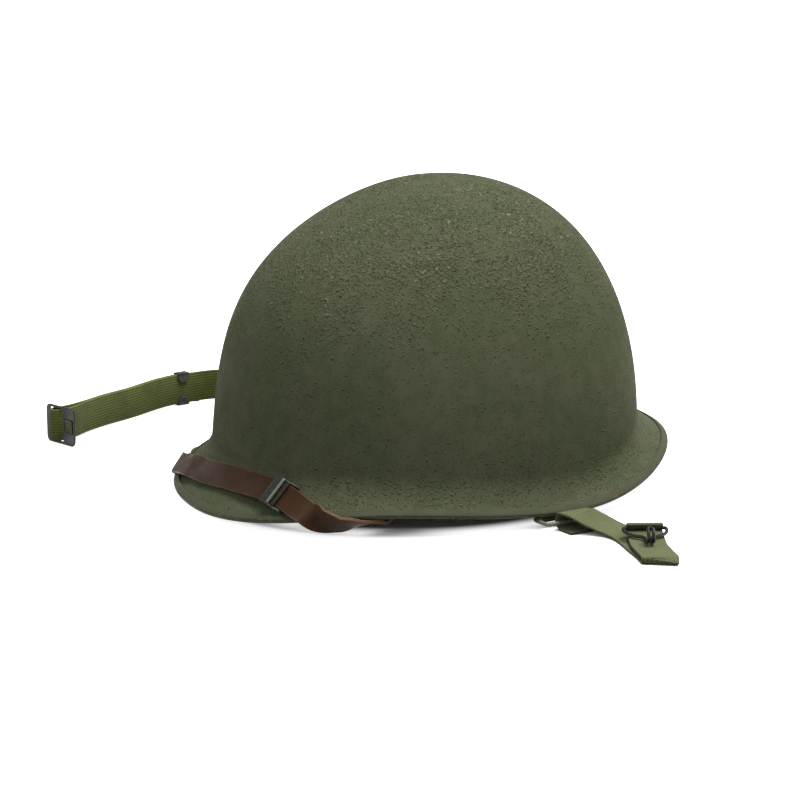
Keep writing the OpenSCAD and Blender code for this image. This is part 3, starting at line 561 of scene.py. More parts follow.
def plain_paint(name, colour, pale, roughness, metallic, wear):
    """Thin paint on a small fitting, chipped to paler metal here and there."""
    f = Finish(name, roughness, metallic, 0.25)
    patches = f.cloud(140.0, 4.0)
    tint = f.mix(f.between(patches, 0.3, 0.75, 0.0, 0.6), colour, tuple(c * 0.6 for c in colour))
    chips = f.between(f.cloud(420.0, 6.0, f.moved(f.place(), (1, 2, 0)), 0.7), 0.56, 0.64, 0.0, wear)
    tint = f.mix(chips, tint, pale)
    tint = f.mix(f.share("bare"), tint, tuple(c * 1.7 for c in pale))
    pitted = f.cloud(1500.0, 3.0)
    shine = f.between(patches, 0.3, 0.7, roughness - 0.12, roughness + 0.1)
    return f.finish(tint, pitted, 0.00008, shine, 0.5)


def ribbed_web(name, colour, stain, dark, rib, ribs, weft, wefts):
    """Woven cotton: ribs along the web, crossed by short weft threads.

    rib and weft are the spacings of the two threads; ribs and wefts say how high they stand.
    """
    f = Finish(name, 0.88, 0.0, 0.05)
    f.shader.inputs["Sheen Weight"].default_value = 0.08
    along, across = f.uv()
    rows = f.math("SINE", f.times(across, 2 * math.pi / rib))
    lane = f.math("FLOOR", f.math("DIVIDE", across, rib))
    shift = f.times(f.math("PINGPONG", lane, 1.0), math.pi)
    picks = f.math("SINE", f.plus(f.times(along, 2 * math.pi / weft), shift))
    threads = f.plus(f.times(rows, 0.5 * ribs), f.times(picks, wefts))
    fuzz = f.cloud(2600.0, 3.0)
    height = f.plus(f.times(threads, 0.6), f.times(fuzz, 0.5))
    soiled = f.between(f.cloud(55.0, 4.0), 0.36, 0.68)
    tint = f.mix(soiled, colour, stain)
    # Painted shade: darker between the threads, where the thread height is low.
    thread_shade = f.between(threads, -0.55, 0.15, 0.75, 0.0)
    tint = f.mix(thread_shade, tint, dark)
    tint = f.mix(f.between(fuzz, 0.55, 0.75, 0.0, 0.3), tint, tuple(min(1, c * 1.6) for c in colour))
    return f.finish(tint, height, 0.00028, 0.9, 0.8)


def herringbone_web(name, colour, stain, dark):
    """Khaki tape woven in slanting ribs that turn back every few millimetres."""
    f = Finish(name, 0.9, 0.0, 0.05)
    f.shader.inputs["Sheen Weight"].default_value = 0.2
    along, across = f.uv()
    fold = f.math("PINGPONG", across, 0.0042)
    slant = f.math("SINE", f.times(f.plus(along, fold), 2 * math.pi / 0.0013))
    fuzz = f.cloud(2600.0, 3.0)
    height = f.plus(f.times(slant, 0.5), f.times(fuzz, 0.5))
    tint = f.mix(f.between(f.cloud(48.0, 4.0), 0.35, 0.7), colour, stain)
    # Painted shade: darker between the slanting ribs, where the rib height is low.
    tint = f.mix(f.between(slant, -0.9, 0.2, 0.55, 0.0), tint, dark)
    return f.finish(tint, height, 0.00022, 0.92, 0.8)


def leather(name, colour, dark, raw, roughness):
    """Oiled leather: fine creases, worn patches, and paler cut edges."""
    f = Finish(name, roughness, 0.0, 0.07)
    creases = f.node("TexVoronoi", {"Vector": f.place(), "Scale": 950.0, "Randomness": 1.0},
                     feature="DISTANCE_TO_EDGE").outputs["Distance"]
    grooves = f.between(creases, 0.0, 0.22)
    patches = f.cloud(70.0, 5.0)
    tint = f.mix(f.between(patches, 0.35, 0.68), colour, dark)
    tint = f.mix(f.between(grooves, 0.0, 0.5, 0.14, 0.0), tint, tuple(c * 0.45 for c in dark))
    rubbed = f.between(f.cloud(90.0, 3.0, f.moved(f.place(), (2, 0, 1)), 0.5), 0.5, 0.72, 0.0, 0.06)
    tint = f.mix(rubbed, tint, raw)
    fibres = f.between(f.cloud(1400.0, 3.0), 0.35, 0.65, 0.45, 1.0)
    tint = f.mix(f.times(f.share("raw"), fibres), tint, raw)
    height = f.plus(f.times(grooves, 0.25), f.times(patches, 0.8))
    shine = f.between(patches, 0.3, 0.7, roughness - 0.1, roughness + 0.15)
    return f.finish(tint, height, 0.00015, shine, 0.5)


def pressed_fibre(colours):
    """Painted liner shell: cloth weave faintly pressed into resin."""
    f = Finish("pressed_fibre", 0.55, 0.0, 0.4)
    point = f.place()
    weave = f.node("TexWave", {"Vector": point, "Scale": 120.0, "Distortion": 3.0, "Detail": 2.0},
                   wave_type="BANDS", bands_direction="DIAGONAL").outputs[1]
    flakes = f.cloud(160.0, 6.0)
    tint = f.mix(f.between(f.cloud(26.0, 3.0), 0.35, 0.68), colours.liner_green, colours.liner_brown)
    tint = f.mix(f.between(flakes, 0.55, 0.72, 0.0, 0.35), tint, colours.pale_flake_and_highlight)
    height = f.plus(f.times(weave, 0.35), flakes)
    return f.finish(tint, height, 0.00012, f.between(flakes, 0.3, 0.7, 0.45, 0.68), 0.6)


def bare_metal(name, colour, tarnish, roughness):
    """Bare fitting: brushed, with dull tarnished patches."""
    f = Finish(name, roughness, 0.9, 0.5)
    patches = f.cloud(210.0, 5.0)
    tint = f.mix(f.between(patches, 0.4, 0.66), colour, tarnish)
    scratches = f.cloud(700.0, 4.0, f.stretched(f.place(), (1, 0.15, 1)))
    shine = f.between(patches, 0.3, 0.7, roughness - 0.06, roughness + 0.25)
    return f.finish(tint, scratches, 0.00006, shine, 0.5)


def make_finishes(colours):
    """Every finish of the helmet, by the frame's material slots."""
    return {
        "olive_paint": grit_paint(colours),
        "edge_paint": edge_paint(colours),
        "loop_wire": plain_paint("loop_wire_paint", colours.loop_wire, colours.rubbed, 0.5, 0.1, 0.5),
        "black_fittings": plain_paint(
            "black_fitting", colours.black_metal, colours.worn_metal, 0.5, 0.0, 0.3),
        "green_web": ribbed_web("green_web", colours.green_web, colours.green_stain, colours.green_dark,
                                rib=0.0016, ribs=0.8, weft=0.0013, wefts=0.2),
        "faded_web": ribbed_web("faded_web", colours.faded_web, colours.faded_stain, colours.faded_dark,
                                rib=0.0012, ribs=0.55, weft=0.0016, wefts=0.28),
        "liner_body": pressed_fibre(colours),
        "khaki_web": herringbone_web("khaki_web", colours.khaki_web, colours.khaki_stain,
                                     colours.khaki_dark),
        "brown_leather": leather("brown_leather", colours.brown_leather, colours.brown_dark,
                                 colours.raw_leather, 0.45),
        "tan_leather": leather("tan_leather", colours.tan_leather, colours.tan_dark,
                               colours.raw_leather, 0.55),
        "zinc_metal": bare_metal("zinc_metal", colours.zinc, colours.zinc_dull, 0.38),
        "dull_brass": bare_metal("dull_brass", colours.brass, colours.brass_dull, 0.42),
    }


FINISHES = {}


def dress(name, mesh, body, slot_name, *nodes):
    """Finish a mesh and put it on its body, in place of the frame's plain solids."""
    mesh.materials.clear()
    mesh.materials.append(FINISHES[slot_name])
    piece = new_object(name, mesh)
    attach(piece, body)
    if nodes:
        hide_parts(*nodes)


def refinish(node, slot_name):
    """Give a frame solid whose shape is kept its detailed finish."""
    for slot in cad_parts[node].material_slots:
        slot.material = FINISHES[slot_name]


# What a user may change

def size(name, description, default):
    return bpy.props.FloatProperty(name=name, description=description, default=default, min=0.0,
                                   subtype="DISTANCE", unit="LENGTH", precision=5)


def colour(name, description, *channels):
    return bpy.props.FloatVectorProperty(name=name, description=description, default=paint(*channels),
                                         subtype="COLOR", size=3, min=0.0, max=1.0)


class HelmetSizes(bpy.types.PropertyGroup):
    """Sizes of the helmet's modelled pieces."""

    rim_half_width: size("Rim half width", "Half the steel's width across the rim", RIM_HALF)
    rim_front: size("Rim front", "Reach of the steel in front of the origin", 0.137)
    rim_rear: size("Rim rear", "Reach of the steel behind the origin", RIM_REAR)
    bowl_half_width: size("Bowl half width", "Half the width of the bowl above its flare", BOWL_HALF)
    bowl_front: size("Bowl front", "Reach of the bowl in front of the origin", 0.1165)
    bowl_rear: size("Bowl rear", "Reach of the bowl behind the origin", BOWL_REAR)
    crown_height: size("Crown height", "Height of the crown above the floor", CROWN_HEIGHT)
    crown_back: size("Crown setback", "How far the crown sits behind the origin", 0.0126)
    steel_thickness: size("Steel thickness", "Thickness of the pressed steel", STEEL)
    liner_gap: size("Liner gap", "Gap between the steel and the liner", 0.0016)
    liner_thickness: size("Liner thickness", "Thickness of the fibre liner", 0.0022)
    web_width: size("Chin web width", "Width of the cotton chin webs", 0.019)
    web_thickness: size("Chin web thickness", "Thickness of the cotton chin webs", 0.0015)
    leather_width: size("Leather strap width", "Width of the leather strap", 0.014)
    leather_thickness: size("Leather strap thickness", "Thickness of the leather strap", 0.002)
    band_width: size("Suspension band width", "Width of the band inside the liner", 0.036)
    crown_strap_width: size("Crown strap width", "Width of each crown strap", 0.024)
    sweatband_width: size("Sweatband width", "Width of the leather sweatband", 0.038)
    stitch_length: size("Stitch length", "Length of one stitch in the webs", 0.0021)


class HelmetColours(bpy.types.PropertyGroup):
    """Colours of the helmet's finishes."""

    olive_paint: colour("Olive paint", "Main colour of the gritty paint", 89, 92, 71)
    olive_green: colour("Greener olive", "Greener patches of the paint", 82, 89, 66)
    olive_dark: colour("Dark olive", "Soiled patches of the paint", 66, 68, 50)
    # Pale olive: the painted highlight on each grain's upper side, and the pale flakes of the liner.
    pale_flake_and_highlight: colour("Pale olive", "Dusty tops of the grains", 118, 120, 96)
    # Pits: the painted shade under each grain of the paint.
    painted_grain_shade: colour("Pits", "Hollows beside the grains", 30, 31, 22)
    chip: colour("Chips", "Bright specks on the grains", 158, 158, 136)
    edge_paint: colour("Edging paint", "Smooth paint on the rim edging", 68, 71, 54)
    rubbed: colour("Rubbed paint", "Paint rubbed thin on edges", 128, 130, 102)
    loop_wire: colour("Loop paint", "Paint on the strap loops", 112, 120, 96)
    black_metal: colour("Black metal", "Blackened fittings", 27, 28, 24)
    worn_metal: colour("Worn metal", "Where the black has worn away", 84, 85, 78)
    green_web: colour("Green web", "Cotton of the buckle's web", 106, 114, 62)
    green_stain: colour("Green web, soiled", "Soiled parts of the buckle's web", 92, 99, 54)
    green_dark: colour("Green web, gaps", "Shadow between the threads", 62, 69, 34)
    faded_web: colour("Faded web", "Cotton of the hook's web", 104, 109, 79)
    faded_stain: colour("Faded web, soiled", "Soiled parts of the hook's web", 92, 97, 65)
    faded_dark: colour("Faded web, gaps", "Shadow between the threads", 66, 70, 46)
    liner_green: colour("Liner", "Main colour of the liner", 84, 88, 64)
    liner_brown: colour("Liner, worn", "Browner patches of the liner", 92, 86, 64)
    khaki_web: colour("Khaki web", "Tape of the suspension", 150, 143, 108)
    khaki_stain: colour("Khaki web, soiled", "Soiled parts of the tape", 124, 114, 82)
    khaki_dark: colour("Khaki web, gaps", "Shadow between the threads", 82, 75, 52)
    brown_leather: colour("Brown leather", "Leather of the strap on the visor", 57, 37, 22)
    brown_dark: colour("Brown leather, dark", "Oiled patches of that strap", 48, 30, 17)
    tan_leather: colour("Tan leather", "Leather of the sweatband", 122, 82, 52)
    tan_dark: colour("Tan leather, dark", "Darker patches of the sweatband", 84, 54, 34)
    raw_leather: colour("Raw leather", "Cut edges and rubbed leather", 116, 90, 68)
    zinc: colour("Zinc", "Bare plated fittings", 150, 150, 142)
    zinc_dull: colour("Dull zinc", "Tarnished patches of the fittings", 96, 97, 86)
    brass: colour("Brass", "Brass fittings", 142, 118, 72)
    brass_dull: colour("Dull brass", "Tarnished patches of the brass", 84, 74, 48)


def mm(*values):
    return np.array(values, float) * MM


def in_metres(stops):
    """Stops of [centre in millimetres, direction across], with their centres in metres."""
    return [(mm(*centre), np.array(across, float)) for centre, across in stops]


def sizes():
    return bpy.context.scene.helmet_sizes


def angles(count):
    return np.arange(count) * 360 / count


# Steel pot

class HELMET_OT_shell(bpy.types.Operator):
    """Press the steel shell: bowl, visor and flared brim in one sheet"""

    bl_idname = "helmet.shell"
    bl_label = "Steel shell"

    def execute(self, context):
        bowl = Bowl(sizes())
        rows = bowl.steel_rows(angles(288), 76, 24)
        mesh = shell_mesh("shell_of_steel", rows, bowl.crown(), 0, bowl.steel)
        set_attribute(mesh, "grain", self.grain(mesh))
        dress("painted_shell", mesh, "steel_pot", "olive_paint", "steel_shell")
        return {"FINISHED"}

    @staticmethod
    def grain(mesh):
        """How thick the grit lies, from 0 to 1: most at the crown, upper front and foot."""
        _, y, z = get_points(mesh).T
        crown = np.clip((z - 0.085) / 0.05, 0, 1)
        foot = np.clip((0.046 - z) / 0.026, 0, 1)
        front = np.clip((-y - 0.05) / 0.05, 0, 1) * np.clip((z - 0.05) / 0.04, 0, 1)
        foot *= 1 - 0.7 * np.clip((-y - 0.085) / 0.02, 0, 1)
        return 0.04 + 0.62 * crown + 0.3 * foot + 0.16 * front


class HELMET_OT_edging(bpy.types.Operator):
    """Fold the edging band round the rim"""

    bl_idname = "helmet.edging"
    bl_label = "Rim edging"

    def execute(self, context):
        bowl = Bowl(sizes())
        a = angles(288)
        out = unit(bowl.brim(a, 1.0) - bowl.brim(a, 0.93))
        along = headings(bowl.brim(a, 1.0), True)
        n = unit(np.cross(out, along))
        n = np.where(n[:, 2:] < 0, -n, n)
        middle = bowl.rim_point(a) - n * bowl.steel / 2
        high, slot, lap = 1.6, 0.6, 4.0
        nose = [(1.0 * math.cos(t), high * math.sin(t)) for t in np.radians(np.linspace(76, -76, 11))]
        section = [(-lap, -high + 0.5), (-lap + 0.15, -slot), (0.1, -slot), (0.1, slot),
                   (-lap + 0.15, slot), (-lap, high - 0.5), (-lap + 0.3, high - 0.12),
                   (-lap + 0.8, high), (-0.6, high)]
        section += nose
        section += [(-0.6, -high), (-lap + 0.8, -high), (-lap + 0.3, -high + 0.12)]
        mesh = sweep("edging_of_rim", middle, out, n, np.array(section) * MM, True)
        worn = [1.0 if x > 0.2 else 0.25 for x, _ in section]
        set_attribute(mesh, "worn", worn * len(a))
        dress("folded_edging", mesh, "steel_pot", "edge_paint", "rim_edging")
        return {"FINISHED"}


# Strap loops, whose frame stands on the rim's line with X outwards and Y along the rim

ROD_OUT = 0.0066
LOOP_HALF = 0.0141
LOOP_CORNER = 0.0024
LOOP_WIRE = 0.0011
LOOP_Y = 0.035
LOOP_REACH = 0.009


def half_width(y, half, rear, power):
    """Half the width of an egg-shaped outline at a distance behind the origin."""
    return half * (1 - (y / rear) ** power) ** (1 / power)


def rim_out(y):
    return half_width(y, RIM_HALF, RIM_REAR, Bowl.rim_powers[1])


RIM_X = rim_out(LOOP_Y)
LOOP_TURN = math.atan2(rim_out(LOOP_Y - LOOP_REACH) - rim_out(LOOP_Y + LOOP_REACH), 2 * LOOP_REACH)
LOOP_Z = Bowl.rim_height((LOOP_Y / RIM_REAR) ** (Bowl.rim_powers[1] / 2)) - 0.45 * MM - LOOP_WIRE
WALL_X = half_width(LOOP_Y, BOWL_HALF, BOWL_REAR, Bowl.plan_power)
HINGE_IN = (RIM_X - WALL_X) * math.cos(LOOP_TURN) - STEEL - 1.5 * MM


def at_loop(points, left):
    """Points of the loop's frame, put on the wearer's left or right."""
    p = np.asarray(points, float)
    c, s = math.cos(LOOP_TURN), math.sin(LOOP_TURN)
    placed = np.stack([RIM_X + p[..., 0] * c - p[..., 1] * s, LOOP_Y + p[..., 0] * s + p[..., 1] * c,
                       p[..., 2]], -1)
    return placed if left else placed * MIRROR


def rounded_loop(corners, radius, steps=6):
    """Closed path through corners, each rounded to a radius."""
    p = np.asarray(corners, float)
    path = []
    for i, corner in enumerate(p):
        back = unit(p[i - 1] - corner)
        ahead = unit(p[(i + 1) % len(p)] - corner)
        for t in np.linspace(0, 1, steps):
            path.append(corner + radius * ((1 - t) ** 2 * back + t ** 2 * ahead))
    return np.array(path)


class HELMET_OT_loops(bpy.types.Operator):
    """Roll the loop brackets and bend the swivel loops that hang in them"""

    bl_idname = "helmet.loops"
    bl_label = "Strap loops"

    def execute(self, context):
        for name, left in (("left", True), ("right", False)):
            self.bracket(name, left)
            corners = [(-HINGE_IN, -LOOP_HALF, LOOP_Z), (ROD_OUT, -LOOP_HALF, LOOP_Z),
                       (ROD_OUT, LOOP_HALF, LOOP_Z), (-HINGE_IN, LOOP_HALF, LOOP_Z)]
            path = at_loop(rounded_loop(corners, LOOP_CORNER), left)
            mesh = tube_mesh(f"{name}_wire", path, LOOP_WIRE, closed=True, around=20)
            dress(f"{name}_wire_loop", mesh, f"{name}_loop", "loop_wire", f"{name}_swivel_loop")
        return {"FINISHED"}

    @staticmethod
    def bracket(name, left):
        """A sheet leaf against the wall, rolled round the loop's inner rod."""
        bore, sheet, wide, corner = 0.00118, 0.0012, 0.018, 0.003
        middle = bore + sheet / 2
        top = float(Bowl(sizes()).fold_height(17.6)) - 0.002
        turn = np.radians(np.linspace(180, 480, 30))
        rolled = np.stack([-HINGE_IN + middle * np.cos(turn), LOOP_Z + middle * np.sin(turn)], -1)
        heights = np.linspace(top, LOOP_Z + 0.0004, 8)
        leaf = np.stack([np.full(8, -HINGE_IN - middle), heights], -1)
        flat = np.vstack([leaf, rolled])
        path = np.stack([flat[:, 0], np.zeros(len(flat)), flat[:, 1]], -1)
        mesh = sheet_mesh(f"{name}_leaf", path, [0.0, 1.0, 0.0], wide, sheet, 0.0003)
        points = get_points(mesh)
        share = np.clip((points[:, 2] - top + corner) / corner, 0, None)
        points[:, 1] *= 1 - 0.22 * share ** 2
        set_points(mesh, at_loop(points, left))
        outward(mesh)
        set_attribute(mesh, "worn", [0.6] * len(mesh.vertices))
        dress(f"{name}_rolled_bracket", mesh, "steel_pot", "edge_paint", f"{name}_loop_bracket")


# Chin webs

def wrap_stops():
    """Turn of a web round the loop's outer rod, from its sewn hem up and over."""
    along = np.array([-math.sin(LOOP_TURN), math.cos(LOOP_TURN), 0])
    place, hem_height, middle, reach, rise = 2.5, 1.0, 5.25, 2.75, 3.95
    rod = ROD_OUT / MM
    stops = [((rod + x, place, hem_height), along) for x in (11, 7, 2.5)]
    for angle in (225, 180, 150, 120, 90):
        t = math.radians(angle)
        stops.append(((rod + reach * math.cos(t), place, middle + rise * math.sin(t)), along))
    return [(at_loop(mm(*p), True), along) for p, along in stops]


# The hook's and the buckle's bars are set out from where the loops cross the rim.
HOOK_AT = np.array([RIM_X, LOOP_Y, 0]) + mm(42.02, 27.5, 7.2)
HOOK_TURN = math.radians(19)
HOOK_RUN = np.array([math.cos(HOOK_TURN), -math.sin(HOOK_TURN), 0])
HOOK_BAR = np.array([math.sin(HOOK_TURN), math.cos(HOOK_TURN), 0])


def hook_web_stops():
    """The near web: off the loop, down to the floor, folded back and rolled round the hook's bar."""
    free = [((126.5, 40, 9.4), (-0.28, 0.96, 0)), ((129.8, 42, 8.6), (-0.36, 0.93, 0)),
            ((133.2, 46.6, 6.2), (-0.42, 0.9, 0)), ((138, 52, 3.4), (-0.36, 0.93, 0)),
            ((144.5, 55.5, 2), (-0.22, 0.97, 0)), ((152, 57, 1.3), (-0.12, 0.99, 0)),
            ((162, 56.5, 1), (-0.02, 1, 0)), ((175, 54.6, 1), (0.08, 1, 0)),
            ((188, 53, 1), (0.28, 0.96, 0)), ((198, 51, 1), (0.46, 0.89, 0)),
            ((200.6, 50, 2.3), (0.5, 0.87, 0)), ((198, 51.2, 3.6), (0.46, 0.89, 0)),
            ((188, 53.2, 3.6), (0.34, 0.94, 0)), ((176, 56, 3.6), (0.33, 0.944, 0))]
    stops = wrap_stops() + in_metres(free)
    roll = 2.1
    rounds = [(9, -3.4), (4, -roll - 0.5)] + circle(roll, -90, -135, -180, -225, -270, -310)
    for run, up in rounds:
        stops.append((HOOK_AT + HOOK_RUN * run * MM + UP * up * MM, HOOK_BAR))
    return stops


BUCKLE_AT = np.array([-RIM_X, LOOP_Y, 0]) + mm(-44.22, -203.4, 11.6)
BUCKLE_TURN = math.radians(23)
BUCKLE_RUN = np.array([math.cos(BUCKLE_TURN), math.sin(BUCKLE_TURN), 0])
BUCKLE_FACE = np.array([math.sin(BUCKLE_TURN), -math.cos(BUCKLE_TURN), 0])
LAY = np.array([(-195, 14), (-214, -3), (-227, -24), (-233.5, -46), (-229, -70), (-220, -88), (-206, -110),
                (-191, -130), (-177, -145)], float)
EDGE_Z = 9.7
KEEPER_Z = 10.65
LAYER_GAP = 2.1


def circle(radius, *degrees):
    """Points of a circle about the origin, at the given angles."""
    return [(radius * math.cos(math.radians(a)), radius * math.sin(math.radians(a))) for a in degrees]


def lay_height(i):
    """Height of the web's middle at a stop of its lay, in millimetres."""
    return KEEPER_Z if 2 < i < 6 else EDGE_Z + 1.9 * max(0, (i - 6) / 3)


def buckle_web_stops():
    """The long web: off the loop, down on its edge, round the buckle's bar and back outside itself."""
    up = (0, 0, 1)
    stops = [(p * MIRROR, d * MIRROR) for p, d in wrap_stops()]
    free = [((-128, 38.5, 8.8), (0.17, 0.98, 0)), ((-136, 37, 6.6), (0, 0.97, 0.2)),
            ((-146, 35, 6.2), (0.03, 0.85, 0.5)), ((-160, 31, 9.1), (0.08, 0.5, 0.86)),
            ((-176, 25, 10.1), (0.03, 0.15, 0.98))]
    stops += in_metres(free)
    stops += [(mm(x, y, lay_height(i)), up) for i, (x, y) in enumerate(LAY)]
    eye = 3.4
    turns = [(0.9, -14), (eye, -5.5)]
    turns += circle(eye, 0, 45, 90, 135, 180) + [(-eye, -5.5), (-eye, -13)]
    stops += [(BUCKLE_AT + (BUCKLE_RUN * run + BUCKLE_FACE * face) * MM, up) for run, face in turns]
    for i in range(8, 3, -1):
        h = unit(LAY[min(i + 1, 8)] - LAY[i - 1])
        x, y = LAY[i] + LAYER_GAP * np.array([h[1], -h[0]])
        stops.append((mm(x, y, lay_height(i)), up))
    stops.append((mm(-234.9, -57, EDGE_Z), up))
    return stops


# Repeated small pieces, set out by Geometry Nodes

def repeat_tree():
    """Node tree that sets a piece on every point, turned by the point's two directions."""
    tree = bpy.data.node_groups.new("set_on_points", "GeometryNodeTree")
    made = tree.interface
    made.new_socket("Geometry", in_out="INPUT", socket_type="NodeSocketGeometry")
    made.new_socket("Piece", in_out="INPUT", socket_type="NodeSocketObject")
    made.new_socket("Scale", in_out="INPUT", socket_type="NodeSocketFloat").default_value = 1.0
    made.new_socket("Material", in_out="INPUT", socket_type="NodeSocketMaterial")
    made.new_socket("Geometry", in_out="OUTPUT", socket_type="NodeSocketGeometry")

    def node(kind, **settings):
        new = tree.nodes.new(kind)
        for key, value in settings.items():
            setattr(new, key, value)
        return new

    def direction(name):
        read = node("GeometryNodeInputNamedAttribute", data_type="FLOAT_VECTOR")
        read.inputs["Name"].default_value = name
        return read.outputs["Attribute"]

    link = tree.links.new
    start, end = node("NodeGroupInput"), node("NodeGroupOutput")
    piece = node("GeometryNodeObjectInfo", transform_space="ORIGINAL")
    facing = node("FunctionNodeAlignRotationToVector", axis="Z")
    turned = node("FunctionNodeAlignRotationToVector", axis="X", pivot_axis="Z")
    place = node("GeometryNodeInstanceOnPoints")
    real = node("GeometryNodeRealizeInstances")
    coat = node("GeometryNodeSetMaterial")
    link(start.outputs["Piece"], piece.inputs["Object"])
    link(direction("facing"), facing.inputs["Vector"])
    link(facing.outputs[0], turned.inputs["Rotation"])
    link(direction("along"), turned.inputs["Vector"])
    link(start.outputs["Geometry"], place.inputs["Points"])
    link(piece.outputs["Geometry"], place.inputs["Instance"])
    link(turned.outputs[0], place.inputs["Rotation"])
    link(start.outputs["Scale"], place.inputs["Scale"])
    link(place.outputs[0], real.inputs[0])
    link(real.outputs[0], coat.inputs["Geometry"])
    link(start.outputs["Material"], coat.inputs["Material"])
    link(coat.outputs[0], end.inputs[0])
    return tree


def set_out(name, single, points, facing, along, slot_name, smooth=True):
    """Mesh of one small piece set out on many points."""
    tree = bpy.data.node_groups.get("set_on_points") or repeat_tree()
    holder = new_object(name, mesh_from(name, points, []))
    for key, vectors in (("facing", facing), ("along", along)):
        attribute = holder.data.attributes.new(key, "FLOAT_VECTOR", "POINT")
        attribute.data.foreach_set("vector", np.asarray(vectors, np.float32).ravel())
    pattern = new_object(name + "_single", single)
    modifier = holder.modifiers.new("Set out", "NODES")
    modifier.node_group = tree
    sockets = {s.name: s.identifier for s in tree.interface.items_tree if s.in_out == "INPUT"}
    modifier[sockets["Piece"]] = pattern
    modifier[sockets["Scale"]] = 1.0
    modifier[sockets["Material"]] = FINISHES[slot_name]
    mesh = shown_mesh(holder)
    mesh.polygons.foreach_set("use_smooth", [smooth] * len(mesh.polygons))
    bpy.data.objects.remove(holder)
    bpy.data.objects.remove(pattern)
    return mesh


def turned_mesh(name, profile, around=24):
    """Solid of revolution about Z through [radius, height] points, closed by a radius of 0 at each end."""
    work = bmesh.new()
    rings = []
    for radius, height in profile:
        if radius <= 0:
            rings.append([work.verts.new((0, 0, height))])
        else:
            rings.append([work.verts.new((radius * math.cos(2 * math.pi * k / around),
                                          radius * math.sin(2 * math.pi * k / around), height))
                          for k in range(around)])
    for low, high in zip(rings, rings[1:]):
        for k in range(around):
            n = (k + 1) % around
            corners = [low[k % len(low)], low[n % len(low)], high[n % len(high)], high[k % len(high)]]
            work.faces.new(list(dict.fromkeys(corners)))
    bmesh.ops.recalc_face_normals(work, faces=work.faces)
    mesh = bpy.data.meshes.new(name)
    work.to_mesh(mesh)
    work.free()
    return mesh


THREAD = 0.0006
HEM_ROWS = (0.0015, 0.0085)


def stitch(length, thickness):
    """One stitch: a low rounded thread along X that dips at both ends."""
    path = [(x * length / 2, 0, thickness * (0.42 - 0.9 * x * x)) for x in np.linspace(-1, 1, 6)]
    return tube_mesh("stitch", np.array(path), thickness / 2, around=6)


def stitch_rows(name, rows, slot_name, lift):
    """Stitches along paths; each row is (points, directions off the cloth)."""
    length = sizes().stitch_length
    points, facing, along = [], [], []
    for path, normals in rows:
        reach = along_lengths(path)
        count = max(2, int(reach[-1] / (length * 1.3)))
        ahead = headings(path)
        for d in (np.arange(count) + 0.5) * reach[-1] / count:
            at = [np.interp(d, reach, path[:, k]) for k in range(3)]
            off = unit([np.interp(d, reach, normals[:, k]) for k in range(3)])
            points.append(np.array(at) + off * lift)
            facing.append(off)
            along.append(unit([np.interp(d, reach, ahead[:, k]) for k in range(3)]))
    return set_out(name, stitch(length, THREAD), points, facing, along, slot_name)


def row_across(path, sides, normals, distance, width, count):
    """Row of points straight across a strap at a distance from its start, with directions off it."""
    i = int(np.searchsorted(along_lengths(path), distance))
    across = np.linspace(-0.5, 0.5, count)[:, None] * width
    return path[i] + across * sides[i], np.repeat(normals[i:i + 1], count, axis=0)


def joined(meshes):
    """One mesh made of several."""
    pieces = [new_object(mesh.name, mesh) for mesh in meshes]
    bpy.ops.object.select_all(action="DESELECT")
    for piece in pieces:
        piece.select_set(True)
    bpy.context.view_layer.objects.active = pieces[0]
    bpy.ops.object.join()
    mesh = pieces[0].data
    bpy.data.objects.remove(pieces[0])
    return mesh


def plate(name, outline, holes, thickness, edge=0.00015):
    """Flat plate with holes and eased edges, in its own XY plane, centred in thickness."""
    drawing = bpy.data.curves.new(name, "CURVE")
    drawing.dimensions = "2D"
    drawing.fill_mode = "BOTH"
    drawing.extrude = thickness / 2 - edge
    drawing.bevel_depth = edge
    drawing.bevel_resolution = 1
    drawing.offset = -edge
    for line in [outline, *holes]:
        spline = drawing.splines.new("POLY")
        spline.points.add(len(line) - 1)
        spline.use_cyclic_u = True
        for point, (x, y) in zip(spline.points, line):
            point.co = (x, y, 0, 1)
    holder = new_object(name, drawing)
    mesh = shown_mesh(holder)
    bpy.data.objects.remove(holder)
    work = bmesh.new()
    work.from_mesh(mesh)
    bmesh.ops.remove_doubles(work, verts=work.verts, dist=0.000005)
    bmesh.ops.recalc_face_normals(work, faces=work.faces)
    work.to_mesh(mesh)
    work.free()
    return mesh


def rounded_box(width, height, radius, centre=(0, 0), steps=5):
    """Rounded rectangle as an outline."""
    return rounded_section(width, height, radius, steps) + np.array(centre)


def stand(mesh, x, y, z, at):
    """Move a mesh so that its axes run along the given directions from a point."""
    matrix = Matrix([(x[i], y[i], z[i], at[i]) for i in range(3)] + [(0, 0, 0, 1)])
    mesh.transform(matrix)
    if matrix.determinant() < 0:
        mesh.flip_normals()
    return mesh


def chin_web(name, stops, finish, body, node):
    """Weave a chin web and sew two rows of stitches across the hem at its loop."""
    s = sizes()
    mesh, *strap = strap_mesh(name, stops, s.web_width, s.web_thickness, 8)
    dress(name, mesh, body, finish, node)
    rows = [row_across(*strap, distance, s.web_width - 0.004, 10) for distance in HEM_ROWS]
    thread = f"{body}_stitches"
    dress(thread, stitch_rows(thread, rows, finish, s.web_thickness / 2), body, finish)


class HELMET_OT_hook_web(bpy.types.Operator):
    """Weave the faded web that is sewn round the left loop and the hook's bar"""

    bl_idname = "helmet.hook_web"
    bl_label = "Hook web"

    def execute(self, context):
        chin_web("faded_chin_web", hook_web_stops(), "faded_web", "hook_web", "hook_strap")
        return {"FINISHED"}


